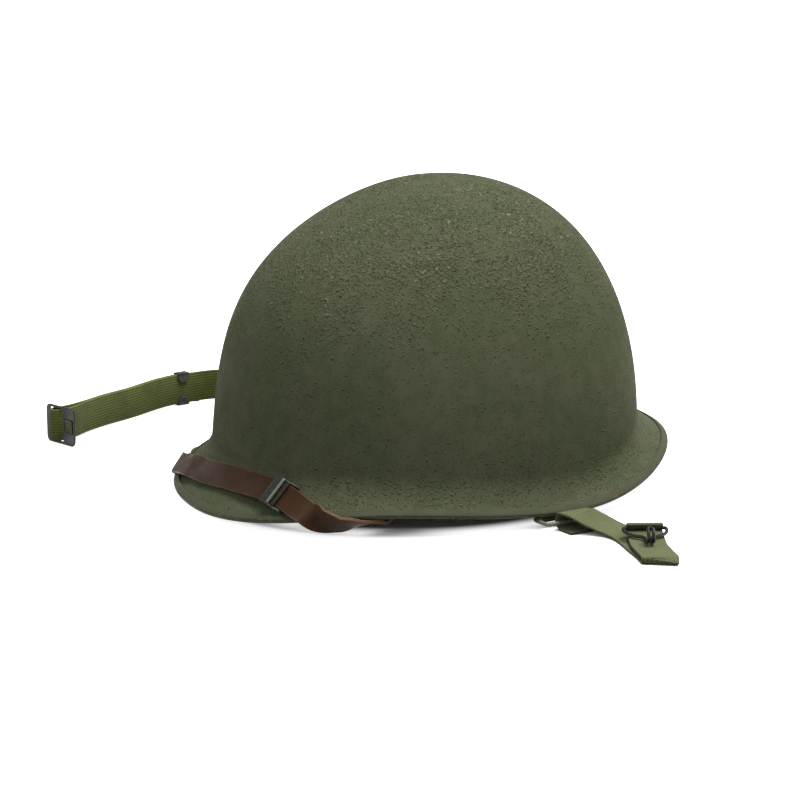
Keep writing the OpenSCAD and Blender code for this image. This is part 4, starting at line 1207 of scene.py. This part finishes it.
class HELMET_OT_hook(bpy.types.Operator):
    """Bend the wire hook"""

    bl_idname = "helmet.hook"
    bl_label = "Hook"

    def execute(self, context):
        half, tongue = 11.25, 1.3

        def side(k):
            return [(2.2, k * half, -0.5), (6, k * (half - 1), -1.1), (10, k * (half - 4), -1.2),
                    (13, k * (tongue + 1.6), -1.2), (17, k * (tongue + 0.3), -1.2),
                    (21.5, k * tongue, -1.2), (24.4, k * tongue, 0), (25.4, k * tongue, 2.2),
                    (24.2, k * tongue, 4.4), (21.3, k * tongue, 5.3)]

        start = [(0, -half + 1.2, 0), (0.35, -half + 0.35, -0.1)]
        stop = [(x, -y, z) for x, y, z in reversed(start)]
        arms = smooth_path(start + side(-1) + [(18.6, 0, 5.2)] + side(1)[::-1] + stop, 6)
        bar = np.stack([np.zeros(12), np.linspace(half - 2.2, -half + 2.2, 12), np.zeros(12)], -1)
        local = np.vstack([arms, bar]) * MM
        path = HOOK_AT + local[:, :1] * HOOK_RUN + local[:, 1:2] * HOOK_BAR + local[:, 2:] * UP
        mesh = tube_mesh("hook_of_wire", path, 0.00095, closed=True, around=14)
        dress("bent_wire_hook", mesh, "hook", "black_fittings", "strap_hook")
        return {"FINISHED"}


class HELMET_OT_buckle_web(bpy.types.Operator):
    """Weave the long ribbed web that carries the buckle"""

    bl_idname = "helmet.buckle_web"
    bl_label = "Buckle web"

    def execute(self, context):
        chin_web("green_chin_web", buckle_web_stops(), "green_web", "buckle_web", "buckle_strap")
        return {"FINISHED"}


class HELMET_OT_buckle(bpy.types.Operator):
    """Press the flat chin buckle with its two slots and hook hole"""

    bl_idname = "helmet.buckle"
    bl_label = "Chin buckle"

    def execute(self, context):
        bar, slot, lobe, end, tall, t = mm(4.5, 4, 3.5, 10.8, 23, 1.2)
        start = -bar / 2 - slot - lobe
        length = lobe + 2 * slot + bar + end
        outline = rounded_box(length, tall, 0.0032, (start + length / 2, 0), 8)
        slot_at = (bar + slot) / 2
        slots = [rounded_box(slot, tall - 0.0032, 0.0006, (x, 0)) for x in (-slot_at, slot_at)]
        hole_at = bar / 2 + slot + 0.005
        hole = rounded_box(0.0065, 0.007, 0.0008, (hole_at, 0))
        pressed = plate("buckle_plate", outline, slots + [hole], t, 0.0003)
        lip = plate("buckle_lip", rounded_box(0.0085, 0.009, 0.0014, (hole_at, 0)), [hole], 0.0009, 0.0003)
        lip.transform(Matrix.Translation((0, 0, t / 2 + 0.0002)))
        mesh = joined([stand(part, BUCKLE_RUN, UP, BUCKLE_FACE, BUCKLE_AT) for part in (pressed, lip)])
        dress("pressed_buckle", mesh, "buckle", "black_fittings", "chin_buckle")
        return {"FINISHED"}


class HELMET_OT_keeper(bpy.types.Operator):
    """Fold the keeper round both layers of the long web"""

    bl_idname = "helmet.keeper"
    bl_label = "Keeper"

    def execute(self, context):
        t, long, slack, finger = mm(0.6, 8, 0.4, 6)
        s = sizes()
        depth = s.web_thickness + LAYER_GAP * MM + 2 * slack
        tall = s.web_width + 2 * slack
        h = unit(LAY[5] - LAY[3])
        run = np.array([h[0], h[1], 0])
        back = np.cross(UP, run)
        near = s.web_thickness / 2 + slack - depth - t / 2
        far = near + depth + t
        high = tall / 2 + t / 2
        corners = [(far, high - finger), (far, high), (near, high), (near, -high), (far, -high),
                   (far, finger - high)]
        local = []
        for i, corner in enumerate(corners):
            corner = np.array(corner)
            if i in (0, 5):
                local.append(corner)
                continue
            to_last = unit(np.array(corners[i - 1]) - corner)
            to_next = unit(np.array(corners[i + 1]) - corner)
            for f in np.linspace(0, 1, 6):
                local.append(corner + 0.0007 * ((1 - f) ** 2 * to_last + f ** 2 * to_next))
        local = np.array(local)
        centre = mm(LAY[4][0], LAY[4][1], KEEPER_Z)
        path = centre + local[:, :1] * back + local[:, 1:] * UP
        mesh = sheet_mesh("keeper_sheet", path, run, long, t, 0.0002, 9)
        points = get_points(mesh).reshape(len(path), -1, 3)
        offset = (points - path[:, None]) @ run
        round_end = long / 2 - np.sqrt(np.clip((long / 2) ** 2 - offset ** 2, 0, None))
        for k, inward in ((0, 1), (len(path) - 1, -1)):
            points[k] += round_end[k, :, None] * inward * UP
        set_points(mesh, points)
        dress("folded_keeper", mesh, "keeper", "black_fittings", "strap_keeper")
        return {"FINISHED"}


# Leather strap

def on_brim(bowl, a, v, lift):
    return bowl.brim(a, v) + bowl.brim_normal(a, v) * lift


# Stops on the visor: angle, share of the brim, lift off the paint, lean of the upper edge.
# Stops at the rim: angle, out from it, up from it, then the width's share out and up.
# Runs: distances past the far fold, in millimetres, of the stops over and under the rim.
NEAR_VISOR = [(-90, 0.6, 1.5, 0.2), (-84, 0.54, 1.3, 0.18), (-78, 0.495, 1.1, 0.1), (-72, 0.48, 1.1, 0),
              (-66, 0.49, 1.6, -0.05), (-61, 0.52, 2.4, -0.05), (-56, 0.6, 2.3, 0), (-52, 0.7, 2, 0),
              (-48, 0.825, 1.7, -0.05), (-44.5, 0.935, 1.6, -0.1)]
NEAR_RIM = [(-41.8, 1.8, 1.8, -0.5, 0.85), (-39, 2.6, -1, 0.35, 0.94), (-36, -0.5, -3.8, 0.82, 0.57),
            (-33, -4.5, -4.3, 0.96, 0.28), (-30, -7.6, -4.4, 0.99, 0.12)]
FAR_VISOR = [(-96, 0.65, 1.6, 0.15), (-102, 0.715, 1.8, 0)]
NEAR_UNDER = [((96.5, -60.5, 8), (1, 0.15, 0.15))]
FAR_UNDER = [((92, -68, 5.6), (1, 0, 0.05))]
TO_CLIP = [((91, -52, 8.4), (0.9, 0, 0.4)), ((92.2, -41, 13.5), (0.5, 0, 0.87)),
           ((96, -32, 19.3), (0.22, -0.3, 0.93)), ((99.3, -26.3, 23.3), (0.08, -0.45, 0.89))]
BUCKLE_STOP = 6
STRAIGHT_RUN = (34, 26, 18, 10, 2, -6)
UNDER_RUN = (26, 34)
PAINT_GRIT = 1.3 * MM


def visor_stop(bowl, a, v, lift, lean):
    upward = unit(bowl.brim(a, v - 0.05) - bowl.brim(a, v + 0.05))
    return on_brim(bowl, a, v, PAINT_GRIT + lift * MM), upward + lean * bowl.brim_normal(a, v)


def rim_stop(bowl, a, out, up, out_share, up_share):
    away = unit((bowl.brim(a, 1.0) - bowl.brim(a, 0.9)) * (1, 1, 0))
    return bowl.rim_point(a) + (away * out + UP * up) * MM, out_share * away + up_share * UP


class Fold:
    """The bend of the leather strap over the rim on the wearer's right."""

    place = -118
    strap_turn = math.radians(27)
    bend_turn = math.radians(168)
    edge_inset = 0.85 * MM
    rim_radius = 1.5 * MM

    def __init__(self, bowl, thickness):
        rim = bowl.rim_point(self.place)
        self.along = unit(bowl.rim_point(self.place - 1) - bowl.rim_point(self.place + 1))
        slope = unit(rim - bowl.brim(self.place, 0.93))
        self.out = unit(slope - np.dot(slope, self.along) * self.along)
        self.up = np.cross(self.out, self.along)
        self.up *= np.sign(self.up[2])
        self.foot = rim - self.edge_inset * self.out
        self.radius = self.rim_radius + thickness / 2
        c, s = math.cos(self.strap_turn), math.sin(self.strap_turn)
        self.ahead = c * self.along + s * self.out
        self.across = s * self.along - c * self.out
        self.centre = self.foot + self.up * self.radius

    def flat(self, distance):
        """Centre of the strap past the bend, if it ran on straight."""
        return self.centre + distance * MM * self.ahead

    def bent(self, points):
        """Points of the straight strap, taken down and back round the rim."""
        place = points - self.foot
        beyond, height = place @ self.out, place @ self.up
        turn = np.clip(beyond / self.radius, 0, self.bend_turn)
        past = beyond - turn * self.radius
        out = height * np.sin(turn) + past * np.cos(turn)
        up = height * np.cos(turn) - past * np.sin(turn)
        return (self.foot + np.outer(place @ self.along, self.along) + np.outer(out, self.out)
                + np.outer(up, self.up))


class HELMET_OT_leather(bpy.types.Operator):
    """Cut the leather strap that lies over the visor and hooks inside the liner"""

    bl_idname = "helmet.leather"
    bl_label = "Leather strap"

    def execute(self, context):
        s = sizes()
        bowl = Bowl(s)
        fold = Fold(bowl, s.leather_thickness)
        near = [visor_stop(bowl, *stop) for stop in NEAR_VISOR]
        near += [rim_stop(bowl, *stop) for stop in NEAR_RIM] + in_metres(NEAR_UNDER + TO_CLIP)
        far = [(fold.flat(distance), fold.across) for distance in STRAIGHT_RUN]
        far += [visor_stop(bowl, *stop) for stop in FAR_VISOR[::-1]]
        under = []
        for distance in UNDER_RUN:
            centre = fold.flat(distance)
            centre, beside = fold.bent(np.array([centre, centre + fold.across * MM]))
            under.append((centre, beside - centre))
        under += [(p * MIRROR, d * MIRROR) for p, d in in_metres(FAR_UNDER + TO_CLIP)]
        width, thickness, corner, across = s.leather_width, s.leather_thickness, 0.2, 20
        section = rounded_section(width, thickness, corner * thickness, 3, across)
        edge = np.abs(section[:, 0]) > width / 2 - 0.3 * thickness
        parts = []
        for name, stops in (("strap_over_visor", far + near), ("strap_to_clip", under)):
            mesh, path, _, _ = strap_mesh(name, stops, width, thickness, 10, corner, across)
            points = get_points(mesh)
            cut = 0.3 + 0.7 * np.clip((points[:, 1] + 0.105) / 0.02, 0, 1)
            set_attribute(mesh, "raw", np.tile(edge, len(path)) * cut)
            if name == "strap_over_visor":
                bend = points[:, 0] < -0.02
                points[bend] = fold.bent(points[bend])
                set_points(mesh, points)
            parts.append(mesh)
        dress("cut_leather_strap", joined(parts), "steel_pot", "brown_leather", "liner_strap")
        return {"FINISHED"}


class HELMET_OT_leather_buckle(bpy.types.Operator):
    """Fold the leather strap's sliding buckle: a tray with two rails, a top plate, a rolled lip, and a thin
    black sheet past the lip as painted shade
    """

    bl_idname = "helmet.leather_buckle"
    bl_label = "Leather strap buckle"

    def execute(self, context):
        s = sizes()
        bowl = Bowl(s)
        stops = [visor_stop(bowl, *stop)[0] for stop in NEAR_VISOR]
        run = unit(stops[BUCKLE_STOP + 1] - stops[BUCKLE_STOP - 1])
        n = bowl.brim_normal(*NEAR_VISOR[BUCKLE_STOP][:2])
        out = unit(n - run * np.dot(n, run))
        up = np.cross(out, run)
        centre = stops[BUCKLE_STOP] + 0.00045 * out
        t = 0.0008
        wide = s.leather_width + 0.0012 + t
        high = s.leather_thickness / 2 + 0.00105 + t / 2
        start, lip, end = mm(-7.2, -1.6, 6.8)

        def sheet(first, last, height, thickness, across=wide):
            """A flat sheet across the strap, from one place along it to another."""
            path = np.array([centre + x * run + height * out for x in np.linspace(first, last, 5)])
            return sheet_mesh("buckle_sheet", path, up, across, thickness, 0.3 * thickness)

        def rail(edge):
            """A rail beside the strap, lower where the strap comes out over it."""
            x = np.linspace(start, end, 12)
            top = np.where(x < lip + 0.001, high, 0.25 * high)
            middle = (top - high) / 2
            rings = []
            for place, low, reach in zip(x, middle, (top + high) / 2 + t / 2):
                corners = rounded_section(2 * reach, t, 0.0002)
                rings.append([centre + place * run + (low + c[0]) * out + (edge * wide / 2 + c[1]) * up
                              for c in corners])
            around = len(corners)
            faces = grid_faces(len(x), around, False, True)
            faces.append(tuple(range(around - 1, -1, -1)))
            faces.append(tuple(range((len(x) - 1) * around, len(x) * around)))
            mesh = mesh_from("buckle_rail", rings, faces)
            outward(mesh)
            bare = np.where(np.abs(x - lip) > 0.002, 0.55, 0.2) * (x > lip)
            set_attribute(mesh, "bare", np.repeat(bare, around))
            return mesh

        roll = np.array([centre + (lip + 0.0002) * run + (high + 0.0002) * out + y * up
                         for y in np.linspace(-wide / 2, wide / 2, 12)])
        rolled = tube_mesh("buckle_lip", roll, 0.00085)
        set_attribute(rolled, "bare", [1.0] * len(rolled.vertices))
        # The fourth sheet, thin and just under the top plate, runs on past the lip: a black sheet that
        # stands in for the painted shade where the strap dives under the lip.
        parts = [sheet(start, lip, high, t), sheet(start, start + 0.003, -high, t),
                 sheet(end - 0.002, end, -high, t),
                 sheet(lip - 0.001, lip + 0.0042, high - 0.0009, 0.0005, wide - 0.0012),
                 rail(-1), rail(1), rolled]
        dress("folded_leather_buckle", joined(parts), "steel_pot", "black_fittings", "liner_strap_buckle")
        return {"FINISHED"}


# Liner and its suspension. Depths are square to the wall, in from the bowl's outer face.

BAND_IN = 0.0072
CROWN_IN = 0.0099
SWEAT_IN = 0.0133
TAPE_T = 0.0014
ANCHORS = (0, 60, 120, 180, 240, 300)


def band_height(a):
    return (62 + 9 * np.sin(np.radians(a))) * MM


def sweat_height(a):
    return band_height(a) - 0.011


def wall_frame(bowl, a, z, depth):
    """Point on the wall with its three directions: across, up and inwards."""
    a = float(a)
    along = bowl.wall_along(np.array(a), z)
    inward = bowl.wall_inward(np.array(a), z)
    return bowl.wall(np.array(a), z, depth), -along, np.cross(along, inward), inward


def wall_band(name, bowl, depth, width, thickness, height):
    """Closed band round the inside of the wall, its middle at the given heights."""
    count, rows = 240, 12
    a = angles(count)
    middle = height(a)
    profile = [(-0.5 + k / rows, 1.0) for k in range(rows + 1)] + [(0.5 + 0.006, 0.75), (0.5 + 0.006, 0.25)]
    profile += [(0.5 - k / rows, 0.0) for k in range(rows + 1)] + [(-0.506, 0.25), (-0.506, 0.75)]
    rings = np.stack([bowl.wall(a, middle + up * width, depth + share * thickness)
                      for up, share in profile], 1)
    faces = grid_faces(count, len(profile), True, True)
    mesh = mesh_from(name, rings, faces)
    layer = mesh.uv_layers.new(name="UVMap")
    path = rings[:, rows // 2]
    length = along_lengths(np.vstack([path, path[:1]]))
    width_at = [up * width for up, _ in profile]
    for polygon in mesh.polygons:
        row = polygon.index // len(profile)
        for corner, vertex in zip(polygon.loop_indices, polygon.vertices):
            i, k = divmod(vertex, len(profile))
            u = length[count] if row == count - 1 and i == 0 else length[i]
            layer.data[corner].uv = (u, width_at[k] + 0.5 * width)
    outward(mesh)
    return mesh, rings, profile


class HELMET_OT_liner(bpy.types.Operator):
    """Mould the fibre liner that fits inside the steel"""

    bl_idname = "helmet.liner"
    bl_label = "Liner shell"

    def execute(self, context):
        s = sizes()
        bowl = Bowl(s)
        rows = bowl.liner_rows(angles(240), 64, 20)
        outer = bowl.steel + s.liner_gap
        mesh = shell_mesh("shell_of_liner", rows, bowl.crown(), outer, outer + s.liner_thickness)
        piece = new_object("whole_liner", mesh)
        drill = turned_mesh("eyelet_drill", [(0, -0.01), (0.0034, -0.01), (0.0034, 0.012), (0, 0.012)])
        at, across, up, inward = wall_frame(bowl, -90, 0.086, outer)
        cutter = new_object("eyelet_drill", stand(drill, across, up, inward, at))
        cut = piece.modifiers.new("Eyelet hole", "BOOLEAN")
        cut.object = cutter
        cut.operation = "DIFFERENCE"
        cut.solver = "EXACT"
        drilled = shown_mesh(piece)
        bpy.data.objects.remove(piece)
        bpy.data.objects.remove(cutter)
        dress("moulded_liner", drilled, "liner", "liner_body", "liner_shell")
        return {"FINISHED"}


class HELMET_OT_suspension(bpy.types.Operator):
    """Sew the suspension band, the crown straps, their lace and the nape strap"""

    bl_idname = "helmet.suspension"
    bl_label = "Suspension"

    def execute(self, context):
        s = sizes()
        bowl = Bowl(s)
        band, _, _ = wall_band("tape_band", bowl, BAND_IN, s.band_width, TAPE_T, band_height)
        dress("woven_suspension_band", band, "liner", "khaki_web", "suspension_band")
        crown_mid = np.array([0, bowl.crown_back * 0.8, bowl.crown_height - 0.038])
        ring, lace, turn = 0.027, 0.0015, 0.0015 + 0.0003 + TAPE_T / 2
        straps, rows = [], []
        for a in ANCHORS:
            stops = self.crown_stops(bowl, s, a, crown_mid, ring, turn)
            mesh, *strap = strap_mesh("crown_tape", stops, s.crown_strap_width, TAPE_T, 8)
            straps.append(mesh)
            distance = along_lengths(strap[0])[-1] - 0.0185
            points, away = row_across(*strap, distance, s.crown_strap_width - 0.003, 12)
            rows.append((points - away * TAPE_T / 2, -away))
        dress("woven_crown_straps", joined(straps), "liner", "khaki_web", "crown_straps")
        thread = stitch_rows("crown_thread", rows, "khaki_web", 0.0001)
        dress("crown_strap_stitches", thread, "liner", "khaki_web")
        g = np.arange(360)
        off = np.radians((g + 30) % 60 - 30)
        reach = np.minimum(ring / np.cos(off), ring * 1.105)
        round_crown = np.stack([np.cos(np.radians(g)), np.sin(np.radians(g)), 0 * g], -1)
        cord = tube_mesh("lace_cord", crown_mid + reach[:, None] * round_crown, lace, True, 12)
        dress("crown_lace_cord", cord, "liner", "khaki_web", "crown_lace")
        route = [(36, 36, 0.7), (42, 35, 0.7), (52, 31, 3), (63, 27.5, 7), (76, 25, 10), (90, 24.5, 11)]
        route += [(180 - a, z, d) for a, z, d in route[4::-1]]
        stops = [(bowl.wall(np.array(float(a)), z * MM, 0.0059 + d * MM), (0, 0, 1)) for a, z, d in route]
        nape = strap_mesh("nape_tape", stops, 0.016, TAPE_T, 10)[0]
        dress("woven_nape_strap", nape, "liner", "khaki_web", "nape_strap")
        return {"FINISHED"}

    @staticmethod
    def crown_stops(bowl, s, a, crown_mid, ring, turn):
        """Stops of one crown strap, from its anchor up to its sewn loop round the lace."""
        at = np.array(float(a))
        z0 = float(band_height(at))
        depth = CROWN_IN + TAPE_T / 2
        along = bowl.wall_along(at, z0)
        c, d = math.cos(math.radians(a)), math.sin(math.radians(a))
        out, across = np.array([c, d, 0]), np.array([-d, c, 0])
        eye = crown_mid + ring * out
        stops = [(bowl.wall(at, z, depth), along) for z in (z0 - 0.009, z0, z0 + 0.009)]
        stops.append((bowl.wall(at, z0 + s.band_width / 2 + 0.01, depth + 0.0015), along))
        high = (z0 + s.band_width / 2 + crown_mid[2]) / 2 + 0.008
        stops.append((bowl.wall(at, high, depth + 0.009), across))
        for run, up in mm((9, 1.2), (2.5, 0.1), (0, 0)):
            stops.append((eye + run * out + UP * (turn + up), across))
        for g in np.radians((135, 180, 225, 270)):
            stops.append((eye + turn * math.cos(g) * out + UP * turn * math.sin(g), across))
        stops.append((eye + 0.006 * out - UP * (turn + 0.0001), across))
        return stops


class HELMET_OT_liner_fittings(bpy.types.Operator):
    """Set the rivets, washers, clips, studs and eyelet of the liner"""

    bl_idname = "helmet.liner_fittings"
    bl_label = "Liner fittings"

    def execute(self, context):
        bowl = Bowl(sizes())
        liner_out = bowl.steel + sizes().liner_gap
        places = [wall_frame(bowl, a, float(band_height(a)), liner_out) for a in ANCHORS]
        grip = CROWN_IN + TAPE_T + 0.0001 - liner_out
        self.rivets("domed_suspension_rivets", places, grip, "suspension_rivets")
        places = [wall_frame(bowl, a, 0.036, liner_out) for a in (38, 142)]
        self.rivets("domed_nape_rivets", places, 0.0050, "nape_rivets")
        washer = plate("washer", [(-0.008, -0.007), (0.008, -0.007), (0.003, 0.010), (-0.003, 0.010)],
                       [rounded_box(0.0033, 0.0033, 0.00165)], 0.001, 0.0002)
        places = [wall_frame(bowl, a, float(band_height(a)), 0.0064) for a in ANCHORS]
        self.fix("stamped_washers", washer, places, False, "anchor_washers")
        for name in ("front_eyelet", "left_liner_stud", "right_liner_stud"):
            refinish(name, "dull_brass")
        for name in ("sweatband_clips", "sweatband_buckle", "left_strap_clip", "right_strap_clip"):
            refinish(name, "black_fittings")
        return {"FINISHED"}

    def rivets(self, name, places, grip, node):
        """Domed rivets whose shanks are as long as the grip."""
        r, t = 0.0032, 0.0008
        dome = [(0, -t - 0.0001), (0.4 * r, -t), (0.75 * r, -0.8 * t), (r, -0.3 * t), (r, -0.0001),
                (r / 2, -0.0001), (r / 2, grip), (r, grip), (r, grip + 0.3 * t), (0.75 * r, grip + 0.8 * t),
                (0.4 * r, grip + t), (0, grip + t)]
        single = turned_mesh("rivet", dome, 24)
        self.fix(name, single, places, True, node)

    @staticmethod
    def fix(name, single, places, smooth, node):
        """Set one zinc fitting out on its places, facing inwards."""
        at, along, _, inward = zip(*places)
        mesh = set_out(name, single, at, inward, along, "zinc_metal", smooth)
        dress(name, mesh, "liner", "zinc_metal", node)


class HELMET_OT_sweatband(bpy.types.Operator):
    """Cut and stitch the leather sweatband"""

    bl_idname = "helmet.sweatband"
    bl_label = "Sweatband"

    def execute(self, context):
        s = sizes()
        bowl = Bowl(s)
        width, thickness = s.sweatband_width, 0.002
        mesh, rings, profile = wall_band("leather_band", bowl, SWEAT_IN, width, thickness, sweat_height)
        ups = np.tile([abs(up) for up, _ in profile], len(rings))
        set_attribute(mesh, "raw", np.clip((ups - 0.488) / 0.01, 0, 1))
        dress("stitched_sweatband", mesh, "liner", "tan_leather", "sweatband")
        a = angles(360)
        rows = []
        for up in (-0.43, 0.43):
            path = bowl.wall(a, sweat_height(a) + up * width, SWEAT_IN + thickness)
            rows.append((path, bowl.wall_inward(a, sweat_height(a))))
        thread = stitch_rows("sweatband_thread", rows, "khaki_web", 0.0)
        dress("sweatband_stitches", thread, "liner", "khaki_web")
        return {"FINISHED"}


# Stage

CAMERA_AT = Vector((1.3323, -0.5338, 0.3779))
CAMERA_AIM = Vector((-0.00398, -0.01015, 0.0465))
SUN_WAY = Vector((-0.04, -0.26, -1))
SHADOW_REACH = (0.121, 0.139)


class HELMET_OT_stage(bpy.types.Operator):
    """Lay the floor, light it and set the camera"""

    bl_idname = "helmet.stage"
    bl_label = "Stage"

    def execute(self, context):
        scene = bpy.context.scene
        corners = [(-9, -9, 0), (9, -9, 0), (9, 9, 0), (-9, 9, 0)]
        floor = new_object("floor", mesh_from("floor", corners, [(0, 1, 2, 3)], False))
        floor.data.materials.append(self.floor_white())
        world = bpy.data.worlds.new("studio")
        scene.world = world
        world.use_nodes = True
        nodes, link = world.node_tree.nodes, world.node_tree.links.new
        seen = nodes.new("ShaderNodeLightPath")
        white = nodes.new("ShaderNodeBackground")
        soft = nodes["Background"]
        white.inputs["Color"].default_value = (1, 1, 1, 1)
        soft.inputs["Color"].default_value = (1, 1, 1, 1)
        soft.inputs["Strength"].default_value = 0.09
        mix = nodes.new("ShaderNodeMixShader")
        shown = None
        for ray in ("Is Camera Ray", "Is Glossy Ray", "Is Transmission Ray"):
            both = nodes.new("ShaderNodeMath")
            both.operation = "MAXIMUM"
            link(seen.outputs[ray], both.inputs[0])
            if shown:
                link(shown, both.inputs[1])
            shown = both.outputs[0]
        link(shown, mix.inputs[0])
        link(soft.outputs[0], mix.inputs[1])
        link(white.outputs[0], mix.inputs[2])
        link(mix.outputs[0], nodes["World Output"].inputs[0])
        lamp = bpy.data.lights.new("overhead", "SUN")
        lamp.energy = 4.2
        lamp.angle = math.radians(36)
        sun = new_object("overhead", lamp)
        sun.rotation_euler = self.towards(SUN_WAY)
        lens = bpy.data.cameras.new("camera")
        lens.lens = 118.2
        lens.sensor_width = 36
        lens.clip_end = 60
        camera = new_object("camera", lens)
        camera.location = CAMERA_AT
        camera.rotation_euler = self.towards(CAMERA_AIM - CAMERA_AT)
        scene.camera = camera
        scene.view_settings.view_transform = "Standard"
        return {"FINISHED"}

    @staticmethod
    def towards(way):
        return way.to_track_quat("-Z", "Y").to_euler()

    @staticmethod
    def floor_white():
        """White floor whose shadow shows only under the helmet and where little sky is seen.

        Camera, glossy and transmission rays see it lifted to white; other rays find it grey.
        """
        f = Finish("floor_white", 0.9, 0.0, 0.0)
        f.shader.inputs["Emission Color"].default_value = (1, 1, 1, 1)
        rays = f.node("LightPath").outputs
        mirrored = f.larger(rays["Is Glossy Ray"], rays["Is Transmission Ray"])
        seen = f.larger(rays["Is Camera Ray"], mirrored)
        open_sky = f.node("AmbientOcclusion", {"Distance": 0.03}, samples=12).outputs["AO"]
        across, along = SHADOW_REACH
        place = f.stretched(f.place(), (1 / across, 1 / along, 0.0))
        reach = f.node("VectorMath", {0: place}, operation="LENGTH").outputs["Value"]
        forward = f.node("SeparateXYZ", {0: f.place()}).outputs[1]
        beside = f.larger(f.between(reach, 0.79, 0.91), f.between(forward, -0.078, -0.1))
        beyond = f.times(f.between(reach, 0.9, 0.97, 0.0, 0.85), f.between(forward, 0.03, 0.0))
        lifted = f.times(f.between(open_sky, 0.15, 0.6, 0.02, 1.0), beside)
        lifted = f.larger(lifted, beyond)
        f.feed(f.shader.inputs["Emission Strength"], f.times(seen, lifted))
        return f.finish(f.mix(seen, (0.16, 0.16, 0.16), (0.9, 0.9, 0.9)))


# Panel and running

OPERATORS = (HELMET_OT_shell, HELMET_OT_edging, HELMET_OT_loops, HELMET_OT_hook_web, HELMET_OT_hook,
             HELMET_OT_buckle_web, HELMET_OT_buckle, HELMET_OT_keeper, HELMET_OT_leather,
             HELMET_OT_leather_buckle, HELMET_OT_liner, HELMET_OT_suspension, HELMET_OT_liner_fittings,
             HELMET_OT_sweatband, HELMET_OT_stage)


class HELMET_PT_panel(bpy.types.Panel):
    """Lists the helmet's sizes, colours and steps"""

    bl_idname = "HELMET_PT_panel"
    bl_label = "Helmet"
    bl_space_type = "VIEW_3D"
    bl_region_type = "UI"
    bl_category = "Helmet"

    def draw(self, context):
        layout = self.layout
        for group in (context.scene.helmet_sizes, context.scene.helmet_colours):
            column = layout.column(align=True)
            for key in group.__annotations__:
                column.prop(group, key)
        for operator in OPERATORS:
            layout.operator(operator.bl_idname)


CLASSES = (HelmetSizes, HelmetColours, *OPERATORS, HELMET_PT_panel)


def register():
    for cls in CLASSES:
        bpy.utils.register_class(cls)
    bpy.types.Scene.helmet_sizes = bpy.props.PointerProperty(type=HelmetSizes)
    bpy.types.Scene.helmet_colours = bpy.props.PointerProperty(type=HelmetColours)


def unregister():
    del bpy.types.Scene.helmet_colours
    del bpy.types.Scene.helmet_sizes
    for cls in reversed(CLASSES):
        bpy.utils.unregister_class(cls)


def main():
    register()
    FINISHES.update(make_finishes(bpy.context.scene.helmet_colours))
    for operator in OPERATORS:
        group, name = operator.bl_idname.split(".")
        getattr(getattr(bpy.ops, group), name)()


if __name__ == "__main__":
    main()
